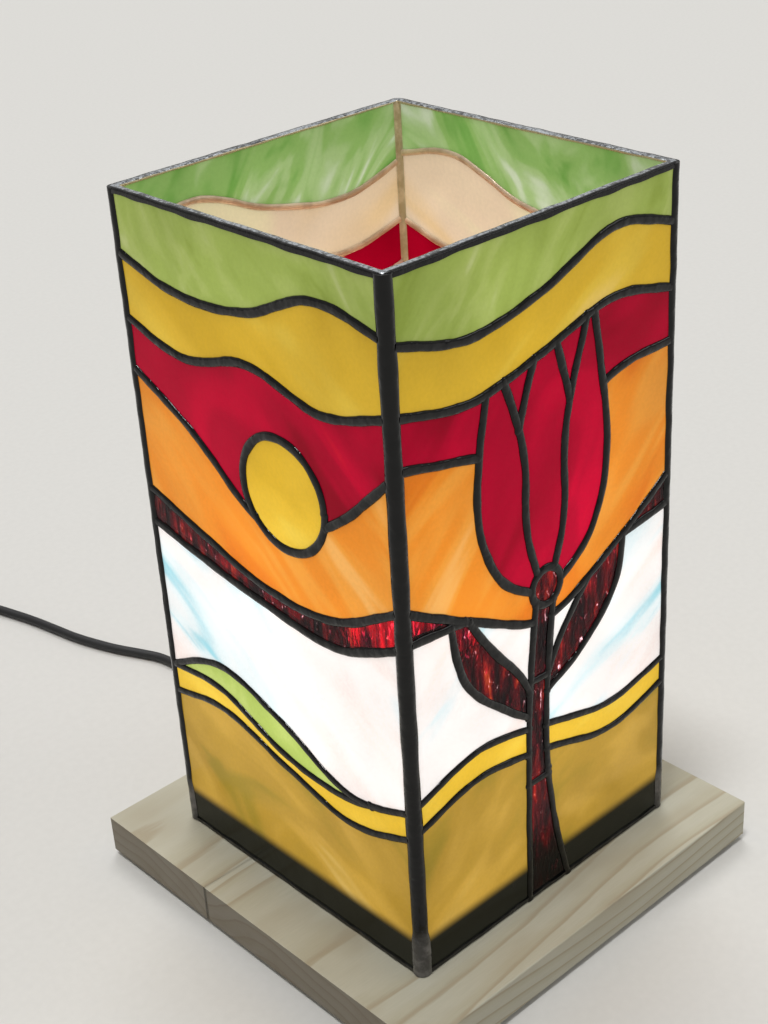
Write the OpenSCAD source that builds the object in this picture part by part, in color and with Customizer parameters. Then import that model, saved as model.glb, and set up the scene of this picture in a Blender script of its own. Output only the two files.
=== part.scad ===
// Table lamp: a square shade of copper-foiled stained glass that lifts off a pine base,
// with a screw-in bulb in a holder on the base and a mains lead with an inline switch.
// Millimetres. +Z is up, the origin is on the table under the middle of the base,
// and -Y is the front.

/* [Shade] */
// Width of the shade over its glass faces
shade_w = 150; // [140:1:180]
// Height of the shade with its rims
shade_h = 296; // [270:1:340]
// Thickness of the sheet glass
glass_t = 3; // [2.6:0.1:3.4]
// Gap between neighbouring pieces of glass, which holds their copper foil
foil_gap = 1; // [0.6:0.1:1.4]
// Width of a solder bead between two pieces of glass
bead_w = 4.4; // [3.6:0.1:5]
// How far a bead stands proud of the glass
bead_proud = 0.9; // [0.6:0.1:1.2]
// How far a corner seam reaches along each face
corner_lap = 4.6; // [4.2:0.1:5.4]
// Outside radius of a corner seam
corner_r = 3.4; // [2:0.1:3.8]
// Radius of the solder fillet inside a corner
fillet_r = 4; // [3:0.1:5]
// Thickness of the solder on the top and bottom edges
rim_t = 0.8; // [0.6:0.1:1.4]
// How far a rim laps down or up over the glass
rim_lap = 1.8; // [1.6:0.1:3]
// How far a rim stands proud of the glass
rim_proud = 0.6; // [0.4:0.1:0.8]

/* [Base] */
// Side of the square base board
base_w = 203; // [195:1:250]
// Thickness of the pine board
board_t = 18; // [16:1:25]
// Distance from the middle of the base to the glued seam between its staves
seam_y = 32; // [25:1:45]
// Thickness of the plinth that the shade stands round
plinth_t = 18; // [16:1:25]
// Clearance between the plinth and the solder inside the shade
plinth_gap = 1.5; // [1:0.1:3]
// Chamfer on the plinth's upright edges
plinth_chamfer = 6; // [6:0.5:10]
// Diameter of a stick-on pad
pad_d = 14; // [10:1:20]
// Height of a stick-on pad
pad_h = 2.5; // [2:0.1:4]
// Distance from the board's edges to the middle of a pad
pad_inset = 14; // [12:1:20]
// Diameter of a wood screw's shank
screw_d = 3.2; // [2.8:0.1:3.5]
// Length of a wood screw's shank
screw_l = 14; // [11:0.5:15]
// Diameter of a wood screw's head
screw_head_d = 6.4; // [6:0.1:6.8]
// Height of a wood screw's head
screw_head_h = 2.2; // [1.8:0.1:2.4]
// Distance from the middle to a plinth screw, along X and Y
plinth_screw_at = 50; // [44:1:52]

/* [Lead in the base] */
// Diameter of the lead
cord_d = 5; // [4.4:0.1:5.2]
// Width of the groove under the board
groove_w = 8; // [7.5:0.1:10]
// Depth of the groove under the board
groove_h = 7; // [6.5:0.1:8.5]
// Diameter of the hole up through the board and the plinth
lead_hole_d = 12; // [11.5:0.1:12.5]
// Radius of the lead's bend from the groove into the hole
lead_bend_r = 8; // [7.5:0.1:8.2]
// Distance from the middle of the base to the lead's clamp
clamp_at = 62; // [50:1:80]
// Size of the clamp plate across the groove
clamp_l = 26; // [24:1:34]
// Size of the clamp plate along the groove
clamp_w = 10; // [9:1:14]
// Thickness of the clamp plate
clamp_t = 1.2; // [1:0.1:1.4]
// Diameter of the strain relief at the board's edge
relief_d = 10; // [9:0.1:11]
// Diameter of the strain relief at its tip
relief_tip_d = 7; // [6.6:0.1:8]
// How far the strain relief reaches behind the board
relief_out = 22.5; // [16:0.5:24]
// How far the strain relief reaches into the groove
relief_in = 12; // [8:1:20]

/* [Lamp holder] */
// Diameter of the holder's flange
flange_d = 58; // [57:1:66]
// Thickness of the holder's flange
flange_t = 5; // [4:0.5:6]
// Distance between the holder's two screws
holder_screw_spacing = 49; // [48:0.5:50]
// Outside diameter of the holder's skirt
skirt_d = 40; // [39:0.5:41]
// Wall of the holder's skirt
skirt_wall = 2; // [1.6:0.1:2.4]
// Height of the holder above the plinth
holder_h = 47; // [44:0.5:48]
// Height of the ring that the skirt and the cup sit on
boss_h = 4; // [3:0.5:5]
// Height of the insulating cup
cup_h = 17; // [15:0.5:20]
// Thickness of the cup's floor
cup_floor = 2.5; // [2:0.1:3]
// Depth of the room for the terminals under the cup's floor
cup_recess = 3; // [2.5:0.1:3.5]
// Height of the threaded shell
shell_h = 25; // [22:0.5:27]
// Wall of the threaded shell
shell_wall = 0.5; // [0.3:0.05:0.6]

/* [Bulb] */
// Largest diameter of the bulb
bulb_d = 60; // [54:1:70]
// Length of the bulb with its cap
bulb_l = 108; // [104:1:116]
// Height of the dome above the bulb's body
dome_h = 48; // [44:1:52]
// Diameter of the neck above the cap
neck_d = 28; // [27.5:0.5:30]
// Wall of the bulb's body and dome
bulb_wall = 1.5; // [1:0.1:2]
// Thickness of the light-emitting board
led_board_t = 1.6; // [1:0.1:2.4]
// Outside diameter of the cap's thread
cap_d = 26.2; // [26:0.05:26.4]
// Height of the cap
cap_h = 20; // [19:0.5:21]
// Wall of the cap behind its thread
cap_wall = 0.5; // [0.4:0.05:0.8]
// Pitch of the cap's thread
thread_pitch = 3.62; // [3.5:0.01:3.7]
// Depth of the cap's thread
thread_h = 0.9; // [0.6:0.05:1]
// Clearance between the cap's thread and the holder's shell
cap_gap = 0.35; // [0.3:0.01:0.45]
// Height of the insulator below the cap
insulator_h = 5; // [4:0.5:6]
// Diameter of the contact tip
tip_d = 9; // [8:0.5:11]
// Height of the contact tip
tip_h = 1.5; // [1:0.1:2]

/* [Switch] */
// Length of the inline switch
switch_l = 58; // [54:1:58]
// Width of the inline switch
switch_w = 26; // [24:1:28]
// Height of the inline switch
switch_h = 18; // [17:0.5:20]
// Height of the joint between the switch's two shells
switch_joint_h = 9; // [8.6:0.1:9.5]
// Wall of the switch's shells
switch_wall = 2; // [1.6:0.1:2.6]
// Length of the rocker
rocker_l = 22; // [18:0.5:24]
// Width of the rocker
rocker_w = 10; // [8:0.5:11]
// Clearance round the rocker
rocker_gap = 0.4; // [0.3:0.05:0.6]
// Angle that the rocker tips through between off and on
rocker_tip = 14; // [10:1:16]

/* [Plug] */
// Width of the plug
plug_w = 35; // [33:0.5:36]
// Height of the plug
plug_h = 14; // [13:0.5:15]
// Length of the plug's body
plug_l = 38; // [34:1:42]
// Width of the plug's grip where the lead enters
plug_grip_w = 14; // [12:0.5:18]
// Diameter of a plug pin
pin_d = 4; // [4:0.1:4.8]
// Distance between the plug's pins
pin_spacing = 18.6; // [18:0.1:19]
// Length of a plug pin
pin_l = 19; // [17:0.5:20]

/* [Tie] */
// Thickness of the tie round the coil
tie_t = 0.6; // [0.4:0.1:1]
// Width of the tie
tie_w = 10; // [8:1:12]

/* [Hidden] */

// Small play between parts that are fitted into each other
fit = 0.1;
round_fn = 64;

// Shade
face = shade_w / 2;
inner_face = face - glass_t;
panel_half = inner_face - foil_gap / 2;
outer_bead_half = face - corner_lap;
inner_bead_half = panel_half - fillet_r;

// Heights up the lamp
board_z = pad_h;
board_top = board_z + board_t;
plinth_top = board_top + plinth_t;
flange_top = plinth_top + flange_t;
boss_top = flange_top + boss_h;
cup_floor_z = boss_top + cup_recess + cup_floor;
contact_t = 2;
rivet_d = 3;
tip_gap = 0.05;
bulb_z = cup_floor_z + contact_t + tip_gap;
cap_z = bulb_z + tip_h + insulator_h;
lead_room = 0.5;
lead_z = board_z + groove_h - lead_room - cord_d / 2;

clamp_z = lead_z - cord_d / 2 - clamp_t;
clamp_screw_x = groove_w / 2 + (clamp_l - groove_w) / 4;
// The plinth screws' heads are sunk so far that their shanks reach into the plinth
plinth_screw_grip = 8;
plinth_screw_sunk = board_t - screw_l + plinth_screw_grip;

plinth_half = inner_face - bead_proud - plinth_gap;
pad_at = base_w / 2 - pad_inset;
boss_r = skirt_d / 2 - skirt_wall - fit;
shell_r = cap_d / 2 + cap_gap;
terminal_x = 4;
terminal_size = [6, 7, 5];

// The lead lies on the table, in three stretches between the base, the switch, the coil and the plug
lead_route = [
    [0, 101.5, 6.5], [0, 112, 6.5], [0, 124, 6.5], [0, 132, 6], [1, 142, 4.4],
    [3, 153, 3], [6, 166, 2.5], [9, 182, 2.5], [11, 198, 2.5], [10, 214, 2.5],
    [5, 227, 2.5], [-1, 240, 2.5], [-6, 254, 2.5],
    [-10, 268, 2.5], [-13, 284, 2.5], [-16, 300, 2.5], [-20, 316, 2.5], [-25, 332, 2.8],
    [-31, 345, 3.8], [-39, 355.5, 5.2], [-48, 362, 6]
];
coil_route = [
    [-98, 391, 6], [-108, 395, 5], [-119, 395, 4], [-129, 391, 3.2], [-138, 384, 3.1],
    [-143, 375, 3.1], [-145, 364, 3.1], [-145, 350, 3.1], [-145, 338, 3.1], [-145, 325, 3.1]
];
plug_route = [[-145, 325, 8.1], [-145, 310, 7.8], [-145, 296, 7.2], [-145, 284, 7]];
cord_sides = 8;
coil_at = [-108, 325];
coil_turn_r = [22, 37];
coil_layers = 2;
switch_at = [-73, 376.5];
switch_angle = 150;
plug_at = [-145, 284];

coil_in = coil_turn_r[0] - cord_d / 2;
coil_out = coil_turn_r[1] + cord_d / 2;
coil_h = coil_layers * cord_d;

// The designs are drawn in millimetres for a panel of this width and height,
// and they spread over the panel as it is
drawn_for = [150, 296];
curve_steps = 5;

// Curves and outlines

function spline(a, b, c, d, t) =
    0.5 * (2 * b + (c - a) * t + (2 * a - 5 * b + 4 * c - d) * t * t
        + (3 * b - a - 3 * c + d) * t * t * t);

function curve(p, steps = curve_steps) = [
    for (i = [0 : len(p) - 2]) for (s = [0 : steps - 1])
        spline(
            i == 0 ? 2 * p[0] - p[1] : p[i - 1], p[i], p[i + 1],
            i == len(p) - 2 ? 2 * p[i + 1] - p[i] : p[i + 2], s / steps),
    p[len(p) - 1]
];

function reversed(p) = [for (i = [len(p) - 1 : -1 : 0]) p[i]];

// A shape is what lies inside all of its outlines, which run counter-clockwise.
// They reach past the panel, so that letting a shape out moves only its true edges.
side_reach = drawn_for[0] / 2 + 3;
side_far = drawn_for[0] / 2 + 40;
top_reach = drawn_for[1] + 8;

// Everything above a line whose heights are given at even steps across the panel
function above(heights) =
    let (n = len(heights) - 1)
    [concat(
        curve([for (i = [0 : n]) [side_reach * (2 * i / n - 1), heights[i]]]),
        [[side_reach, top_reach], [-side_reach, top_reach]])];

// Everything between two curves that rise from one point to another
function between(left, right) =
    let (low = left[0][1], high = left[len(left) - 1][1])
    [concat(right, [[-side_far, high], [-side_far, low]]),
     concat([[side_far, low], [side_far, high]], reversed(left))];

function leaf(left, right) = between(curve(left), curve(right));

function disc(centre, r) =
    [[for (a = [0 : 12 : 348]) centre + r * [cos(a), sin(a)]]];

function unit(v) = v / norm(v);
function normal(a, b) = let (v = unit(b - a)) [v[1], -v[0]];

// A counter-clockwise outline let out by d, or drawn in where d is negative, with blunt points
function grow(p, d) =
    let (n = len(p))
    [for (i = [0 : n - 1])
        let (
            before = normal(p[(i + n - 1) % n], p[i]),
            after = normal(p[i], p[(i + 1) % n]))
        p[i] + d * (before + after) / max(1 + before * after, 0.35)];

function on_panel(p) =
    [for (v = p) [v[0] * shade_w / drawn_for[0], v[1] * shade_h / drawn_for[1]]];

// A length of the stem, which widens towards its foot and is parted by slanting lines
function stem_x(v) = -6 * sin(1.2 * v);
function stem_half(v) = 5 + 7 * pow(max(1 - v / 90, 0), 2);
function stem(low, high, slope) =
    let (steps = 6, from = low - abs(slope), rise = (high - from) / steps)
    concat(
        between(
            [for (i = [0 : steps]) let (v = from + i * rise) [stem_x(v) - stem_half(v), v]],
            [for (i = [0 : steps]) let (v = from + i * rise) [stem_x(v) + stem_half(v), v]]),
        [[[-side_far, low - slope * 5], [side_far, low + slope * 5],
          [side_far, top_reach], [-side_far, top_reach]]]);

// Each design lists its shapes from the back to the front: the glass, then the outline.
// A shape hides what lies behind it.
bloom_design = [
    ["amber", above([-8, -8, -8])],
    ["yellow", above([70, 79, 72, 62, 70])],
    ["white", above([82, 92, 84, 75, 82])],
    ["maroon", leaf(
        [[-5, 88], [-25, 104], [-46, 128], [-54, 172]],
        [[-5, 88], [-14, 112], [-33, 137], [-54, 172]])],
    ["maroon", leaf(
        [[-5, 98], [8, 122], [27, 145], [46, 172]],
        [[-5, 98], [21, 111], [42, 134], [46, 172]])],
    ["maroon", above([156, 152, 148, 151, 156])],
    ["orange", above([172, 150, 134, 149, 172])],
    ["red", above([226, 217, 207, 224, 226])],
    ["maroon", stem(-8, 64, 0)],
    ["maroon", stem(60, 112, 1)],
    ["maroon", stem(108, 150, -1)],
    ["red", leaf(
        [[0, 144], [-14, 174], [-15, 214], [2, 262]],
        [[0, 144], [14, 174], [15, 214], [2, 262]])],
    ["red", leaf(
        [[1, 144], [10, 174], [12, 214], [26, 260]],
        [[1, 144], [26, 162], [35, 198], [26, 260]])],
    ["red", leaf(
        [[-1, 144], [-25, 162], [-36, 196], [-27, 256]],
        [[-1, 144], [-10, 174], [-12, 212], [-27, 256]])],
    ["maroon", disc([0, 148], 8)],
    ["yellow", above([246, 238, 245, 254, 246])],
    ["green", above([272, 262, 268, 281, 272])]
];
sun_design = [
    ["amber", above([-8, -8, -8])],
    ["yellow", above([70, 76, 66, 58, 70])],
    ["green", above([84, 86, 72, 70, 84])],
    ["white", above([82, 98, 88, 72, 82])],
    ["red", above([156, 148, 142, 140, 156])],
    ["orange", above([172, 160, 150, 152, 172])],
    ["red", above([226, 206, 180, 192, 226])],
    ["yellow", disc([14, 196], 23)],
    ["yellow", above([246, 236, 244, 236, 246])],
    ["green", above([272, 262, 264, 278, 272])]
];

module shape(outlines, d) {
    intersection_for (p = outlines) polygon(grow(on_panel(p), d));
}

// One piece of a design, let out by d, or drawn in where d is negative
module piece(design, i, d) {
    difference() {
        shape(design[i][1], d);
        for (j = [i + 1 : 1 : len(design) - 1]) shape(design[j][1], -d);
    }
}

module upright(low, high, half) {
    translate([-half, low]) square([2 * half, high - low]);
}

// The pieces of one kind of glass in a panel, drawn flat with the panel's foot at y = 0
module glass_pieces(design, kind) {
    for (i = [0 : len(design) - 1])
        if (design[i][0] == kind)
            intersection() {
                upright(rim_t, shade_h - rim_t, panel_half);
                piece(design, i, -foil_gap / 2);
            }
}

// The lines between the pieces, as wide as gap, within a rectangle
module lines(design, gap, low, high, half) {
    difference() {
        upright(low, high, half);
        for (i = [0 : len(design) - 1]) piece(design, i, -gap / 2);
    }
}

// Stands a flat drawing up on the board at a distance from the middle, facing -Y
module stand(distance, thickness) {
    translate([0, -distance, board_top]) rotate([90, 0, 0]) linear_extrude(thickness) children();
}

// Turns the front panel to one of the four sides
module on_side(turn) {
    rotate([0, 0, turn * 90]) children();
}

module glass(design, kind, turn, tint) {
    color(tint) on_side(turn) stand(inner_face, glass_t) glass_pieces(design, kind);
}

module solder(design, turn) {
    low = rim_lap;
    high = shade_h - rim_lap;
    color("#1c1b1d") on_side(turn) {
        stand(inner_face, glass_t) lines(design, foil_gap, rim_t, shade_h - rim_t, panel_half);
        stand(face, bead_proud) lines(design, bead_w, low, high, outer_bead_half);
        stand(inner_face - bead_proud, bead_proud)
            lines(design, bead_w, low, high, inner_bead_half);
    }
}

function arc(centre, r, from, to, steps) =
    [for (i = [0 : steps]) let (a = from + (to - from) * i / steps)
        centre + r * [cos(a), sin(a)]];

// Section of a corner seam: it fills the notch between two panels and laps over both
seam_shoulder = [face + 0.75 * bead_proud, outer_bead_half + 0.5];
corner_section = concat(
    [[face, outer_bead_half], seam_shoulder],
    arc([1, 1] * (face + bead_proud - corner_r), corner_r, 0, 90, 6),
    [[seam_shoulder[1], seam_shoulder[0]], [outer_bead_half, face]],
    [[panel_half, face], [panel_half, inner_face]],
    arc([1, 1] * inner_bead_half, inner_face - inner_bead_half, 90, 0, 5),
    [[inner_face, panel_half], [face, panel_half]]);

module corner_seams() {
    color("#1c1b1d")
        for (turn = [0 : 3])
            on_side(turn)
                translate([0, 0, board_top + rim_t])
                    linear_extrude(shade_h - 2 * rim_t) polygon(corner_section);
}

// One side of a rim, lapping down over the glass from z = 0, mitred with a hairline
// between it and its neighbours
module rim_bar() {
    out = face + rim_proud;
    in = inner_face - rim_proud;
    line = 0.05;
    translate([0, 0, -rim_t]) linear_extrude(rim_t)
        polygon([[line - out, -out], [out - line, -out], [in - line, -in], [line - in, -in]]);
    translate([-outer_bead_half, -out, -rim_lap])
        cube([2 * outer_bead_half, rim_proud, rim_lap]);
    translate([-inner_bead_half, -inner_face, -rim_lap])
        cube([2 * inner_bead_half, rim_proud, rim_lap]);
}

module top_rim() {
    color("#8d8f92")
        translate([0, 0, board_top + shade_h])
            for (turn = [0 : 3]) on_side(turn) rim_bar();
}

module bottom_rim() {
    color("#8d8f92")
        translate([0, 0, board_top]) mirror([0, 0, 1])
            for (turn = [0 : 3]) on_side(turn) rim_bar();
}

// Base

module at_corners(distance) {
    for (x = [-distance, distance], y = [-distance, distance]) translate([x, y, 0]) children();
}

// The groove under the board, the lead's hole, and the bores and recesses of its screws
module board_cuts() {
    translate([-groove_w / 2, 0, board_z - 1]) cube([groove_w, base_w, groove_h + 1]);
    translate([0, 0, board_z - 1]) cylinder(h = board_t + 2, d = lead_hole_d, $fn = round_fn);
    at_corners(plinth_screw_at) {
        translate([0, 0, board_z - 1])
            cylinder(h = board_t + 2, d = screw_d + 2 * fit, $fn = round_fn);
        translate([0, 0, board_z - 1])
            cylinder(h = plinth_screw_sunk + 1, d = screw_head_d + 4 * fit, $fn = round_fn);
    }
    translate([-clamp_l / 2 - fit, clamp_at - clamp_w / 2 - fit, board_z - 1])
        cube([clamp_l + 2 * fit, clamp_w + 2 * fit, clamp_z + clamp_t - board_z + 1]);
    for (side = [-1, 1])
        translate([side * clamp_screw_x, clamp_at, board_z - 1])
            cylinder(h = screw_l + 2, d = screw_d + 2 * fit, $fn = round_fn);
}

module board_part(from_y, to_y) {
    color("#c9b99a")
        difference() {
            translate([-base_w / 2, from_y, board_z]) cube([base_w, to_y - from_y, board_t]);
            board_cuts();
        }
}

module base_board_front() {
    board_part(-base_w / 2, seam_y);
}

module base_board_rear() {
    board_part(seam_y, base_w / 2);
}

module plinth() {
    c = plinth_half - plinth_chamfer;
    h = plinth_half;
    color("#b9a585")
        difference() {
            translate([0, 0, board_top])
                linear_extrude(plinth_t)
                    polygon([[c, -h], [h, -c], [h, c], [c, h], [-c, h], [-h, c], [-h, -c], [-c, -h]]);
            translate([0, 0, board_top - 1])
                cylinder(h = plinth_t + 2, d = lead_hole_d, $fn = round_fn);
            at_corners(plinth_screw_at)
                translate([0, 0, board_top - 1])
                    cylinder(h = plinth_screw_grip + 3, d = screw_d + 2 * fit, $fn = round_fn);
            for (side = [-1, 1])
                translate([side * holder_screw_spacing / 2, 0, plinth_top - screw_l + flange_t - 1])
                    cylinder(h = screw_l, d = screw_d + 2 * fit, $fn = round_fn);
        }
}

module pads() {
    color("#4a4a48")
        at_corners(pad_at) cylinder(h = pad_h, d = pad_d, $fn = round_fn);
}

// A screw with its head's underside at z = 0 and its shank below
module wood_screw() {
    point_l = screw_d;
    point_d = 0.4;
    rim_h = 0.6 * screw_head_h;
    crown_d = 0.7 * screw_head_d;
    cylinder(h = rim_h, d = screw_head_d, $fn = round_fn);
    translate([0, 0, rim_h])
        cylinder(h = screw_head_h - rim_h, d1 = screw_head_d, d2 = crown_d, $fn = round_fn);
    translate([0, 0, point_l - screw_l]) cylinder(h = screw_l - point_l, d = screw_d, $fn = round_fn);
    translate([0, 0, -screw_l]) cylinder(h = point_l, d1 = point_d, d2 = screw_d, $fn = round_fn);
}

module wood_screws() {
    color("#b8b9bb") {
        for (side = [-1, 1])
            translate([side * holder_screw_spacing / 2, 0, flange_top]) wood_screw();
        for (side = [-1, 1])
            translate([side * clamp_screw_x, clamp_at, clamp_z]) mirror([0, 0, 1]) wood_screw();
        at_corners(plinth_screw_at)
            translate([0, 0, board_z + plinth_screw_sunk]) mirror([0, 0, 1]) wood_screw();
    }
}

// The lead from the board's edge along the groove and up into the holder, with its bared cores
module inner_lead() {
    top = boss_top + 0.5;
    core_d = 1.6;
    core_z = top - 0.75 * core_d;
    color("#161617") {
        translate([0, lead_bend_r, lead_z]) rotate([-90, 0, 0])
            cylinder(h = base_w / 2 - lead_bend_r, d = cord_d, $fn = round_fn);
        translate([0, lead_bend_r, lead_z + lead_bend_r]) rotate([0, 90, 0])
            rotate([0, 0, -90]) rotate_extrude(angle = 90, $fn = round_fn)
                translate([lead_bend_r, 0]) circle(d = cord_d, $fn = round_fn);
        translate([0, 0, lead_z + lead_bend_r])
            cylinder(h = top - lead_z - lead_bend_r, d = cord_d, $fn = round_fn);
        translate([-terminal_x, 0, core_z]) rotate([0, 90, 0])
            cylinder(h = 2 * terminal_x, d = core_d, $fn = round_fn);
    }
}

// The plate is let into the board so far that it presses on the lead
module cord_clamp() {
    color("#d8d6cf")
        difference() {
            translate([-clamp_l / 2, clamp_at - clamp_w / 2, clamp_z])
                cube([clamp_l, clamp_w, clamp_t]);
            for (side = [-1, 1])
                translate([side * clamp_screw_x, clamp_at, clamp_z - 1])
                    cylinder(h = clamp_t + 2, d = screw_d + 2 * fit, $fn = round_fn);
        }
}

// The part in the groove is narrow enough for it, and a collar bears on the board's edge
module strain_relief() {
    neck = 2 * (board_z + groove_h - lead_z - fit);
    edge = base_w / 2;
    bore = cord_d + fit;
    collar_l = 3;
    collar_step = 0.6;
    color("#161617")
        translate([0, edge, lead_z]) rotate([-90, 0, 0])
            rotate_extrude($fn = round_fn)
                polygon([
                    [bore / 2, -relief_in], [neck / 2, -relief_in], [neck / 2, 0], [relief_d / 2, 0],
                    [relief_d / 2, collar_l], [relief_d / 2 - collar_step, collar_l + 1],
                    [relief_tip_d / 2, relief_out], [bore / 2, relief_out]
                ]);
}

// Lead on the table

function tangent(p, i) =
    unit(p[min(i + 1, len(p) - 1)] - p[max(i - 1, 0)]);
function across(t) = unit(cross([0, 0, 1], t));

// A round tube along a route, as one closed solid
module tube(route) {
    n = cord_sides;
    rings = len(route);
    points = [
        for (i = [0 : rings - 1])
            let (t = tangent(route, i), side = across(t), up = cross(t, side))
            for (k = [0 : n - 1])
                let (a = 360 * (k + 0.5) / n)
                route[i] + cord_d / 2 * (cos(a) * side + sin(a) * up)
    ];
    walls = [
        for (i = [0 : rings - 2]) for (k = [0 : n - 1])
            let (a = i * n + k, b = i * n + (k + 1) % n)
            for (face = [[a, b + n, b], [a, a + n, b + n]]) face
    ];
    ends = [[for (k = [0 : n - 1]) k], [for (k = [n - 1 : -1 : 0]) (rings - 1) * n + k]];
    polyhedron(points = points, faces = concat(walls, ends));
}

module cord_lead() {
    color("#161617") {
        tube(lead_route);
        tube(coil_route);
        tube(plug_route);
    }
}

// Outer shape of the coil, whose turns lie beside and on each other
module cord_coil() {
    r = cord_d / 2;
    color("#161617")
        translate([coil_at[0], coil_at[1], tie_t])
            rotate_extrude($fn = round_fn)
                union() {
                    translate([coil_in + r, 0]) square([coil_out - coil_in - cord_d, coil_h]);
                    translate([coil_in, r]) square([coil_out - coil_in, coil_h - cord_d]);
                    for (x = [coil_in + r, coil_out - r], y = [r, coil_h - r])
                        translate([x, y]) circle(r = r, $fn = round_fn);
                }
}

// A strap round the coil's turns at its side towards +X
module coil_tie() {
    room = 0.3;
    inside = sqrt(coil_in * coil_in - tie_w * tie_w / 4) - room;
    outside = coil_out + room;
    color("#2b2b2d")
        translate([coil_at[0], coil_at[1] - tie_w / 2, 0])
            difference() {
                translate([inside - tie_t, 0, 0])
                    cube([outside - inside + 2 * tie_t, tie_w, coil_h + room + 2 * tie_t]);
                translate([inside, -1, tie_t])
                    cube([outside - inside, tie_w + 2, coil_h + room]);
            }
}

// Plug, lying flat, with the lead's end at its origin and its pins towards -Y

module at_plug() {
    translate([plug_at[0], plug_at[1], 0]) children();
}

module plug_body() {
    grip = plug_grip_w / 2;
    wide = plug_w / 2;
    // Shares of the way from the grip out to the full width, and along the plug
    swell = [[0, 0], [0.1, 0.26], [0.71, 0.56], [1, 0.76], [1, 1]];
    side = curve([for (s = swell) [grip + s[0] * (wide - grip), -s[1] * plug_l]], 4);
    color("#19191a")
        at_plug()
            linear_extrude(plug_h)
                polygon(concat(reversed(side), [for (p = side) [-p[0], p[1]]]));
}

module plug_pins() {
    color("#c9cacc")
        at_plug()
            for (side = [-1, 1])
                translate([side * pin_spacing / 2, -plug_l, plug_h / 2]) rotate([90, 0, 0]) {
                    cylinder(h = pin_l - pin_d / 2, d = pin_d, $fn = round_fn);
                    translate([0, 0, pin_l - pin_d / 2]) sphere(d = pin_d, $fn = round_fn);
                }
}

// Inline switch, with the lead entering at its +X end

module at_switch() {
    translate([switch_at[0], switch_at[1], 0]) rotate([0, 0, switch_angle]) children();
}

module rounded(l, w, r) {
    square([l - 2 * r, w], center = true);
    square([l, w - 2 * r], center = true);
    for (x = [r - l / 2, l / 2 - r], y = [r - w / 2, w / 2 - r])
        translate([x, y]) circle(r = r, $fn = round_fn);
}

switch_corner_r = 9;
rocker_pivot_z = switch_h - 2;
rocker_top = 2.4;
rocker_depth = 4;
pivot_d = 3;
pivot_reach = 3;
pivot_play = 0.1;

module switch_block(low, high, inset) {
    translate([0, 0, low])
        linear_extrude(high - low)
            rounded(switch_l - 2 * inset, switch_w - 2 * inset, switch_corner_r - inset);
}

module switch_lower() {
    color("#1a1a1b")
        at_switch()
            difference() {
                switch_block(0, switch_joint_h, 0);
                switch_block(switch_wall, switch_joint_h + 1, switch_wall);
            }
}

module switch_upper() {
    slot_l = rocker_l + 2 * rocker_gap;
    slot_w = rocker_w + 2 * rocker_gap;
    top = switch_h - switch_wall;
    color("#1a1a1b")
        at_switch()
            difference() {
                union() {
                    difference() {
                        switch_block(switch_joint_h, switch_h, 0);
                        switch_block(switch_joint_h - 1, top, switch_wall);
                    }
                    for (side = [-1, 1])
                        translate([-pivot_d, side * (slot_w + pivot_reach) / 2 - pivot_reach / 2,
                            top - pivot_d])
                            cube([2 * pivot_d, pivot_reach, pivot_d]);
                }
                translate([-slot_l / 2, -slot_w / 2, switch_joint_h - 1])
                    cube([slot_l, slot_w, switch_h]);
                translate([0, 0, rocker_pivot_z]) rotate([90, 0, 0])
                    cylinder(h = rocker_w + 2 * pivot_reach + 2 * pivot_play,
                        d = pivot_d + pivot_play, center = true, $fn = round_fn);
            }
}

module rocker() {
    reach = rocker_l;
    rise = reach * tan(rocker_tip / 2);
    color("#242425")
        at_switch()
            translate([0, 0, rocker_pivot_z]) rotate([0, rocker_tip / 2, 0]) {
                intersection() {
                    rotate([90, 0, 0])
                        cylinder(h = rocker_w, d = rocker_l, center = true, $fn = round_fn);
                    translate([0, rocker_w, 0]) rotate([90, 0, 0]) linear_extrude(2 * rocker_w)
                        polygon([
                            [-reach, -rocker_depth], [reach, -rocker_depth],
                            [reach, rocker_top + rise], [0, rocker_top], [-reach, rocker_top + rise]
                        ]);
                }
                rotate([90, 0, 0])
                    cylinder(h = rocker_w + 2 * pivot_reach - pivot_play, d = pivot_d,
                        center = true, $fn = round_fn);
            }
}

// Lamp holder

module turned(points) {
    rotate_extrude($fn = round_fn) polygon(points);
}

module holder_base() {
    boss_wall = 4;
    color("#1d1d1e")
        difference() {
            union() {
                translate([0, 0, plinth_top]) cylinder(h = flange_t, d = flange_d, $fn = round_fn);
                translate([0, 0, flange_top]) cylinder(h = boss_h, r = boss_r, $fn = round_fn);
            }
            translate([0, 0, plinth_top - 1])
                cylinder(h = flange_t + 2, d = lead_hole_d, $fn = round_fn);
            translate([0, 0, flange_top])
                cylinder(h = boss_h + 1, r = boss_r - boss_wall, $fn = round_fn);
            for (side = [-1, 1])
                translate([side * holder_screw_spacing / 2, 0, plinth_top - 1])
                    cylinder(h = flange_t + 2, d = screw_d + 2 * fit, $fn = round_fn);
        }
}

module holder_skirt() {
    out = skirt_d / 2;
    in = out - skirt_wall;
    top = plinth_top + holder_h;
    lip = 1;
    color("#1d1d1e")
        turned([
            [in, flange_top], [out, flange_top], [out, top - lip], [out - lip, top],
            [in - lip, top], [in - lip, top - 2 * lip], [in, top - 3 * lip]
        ]);
}

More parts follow.
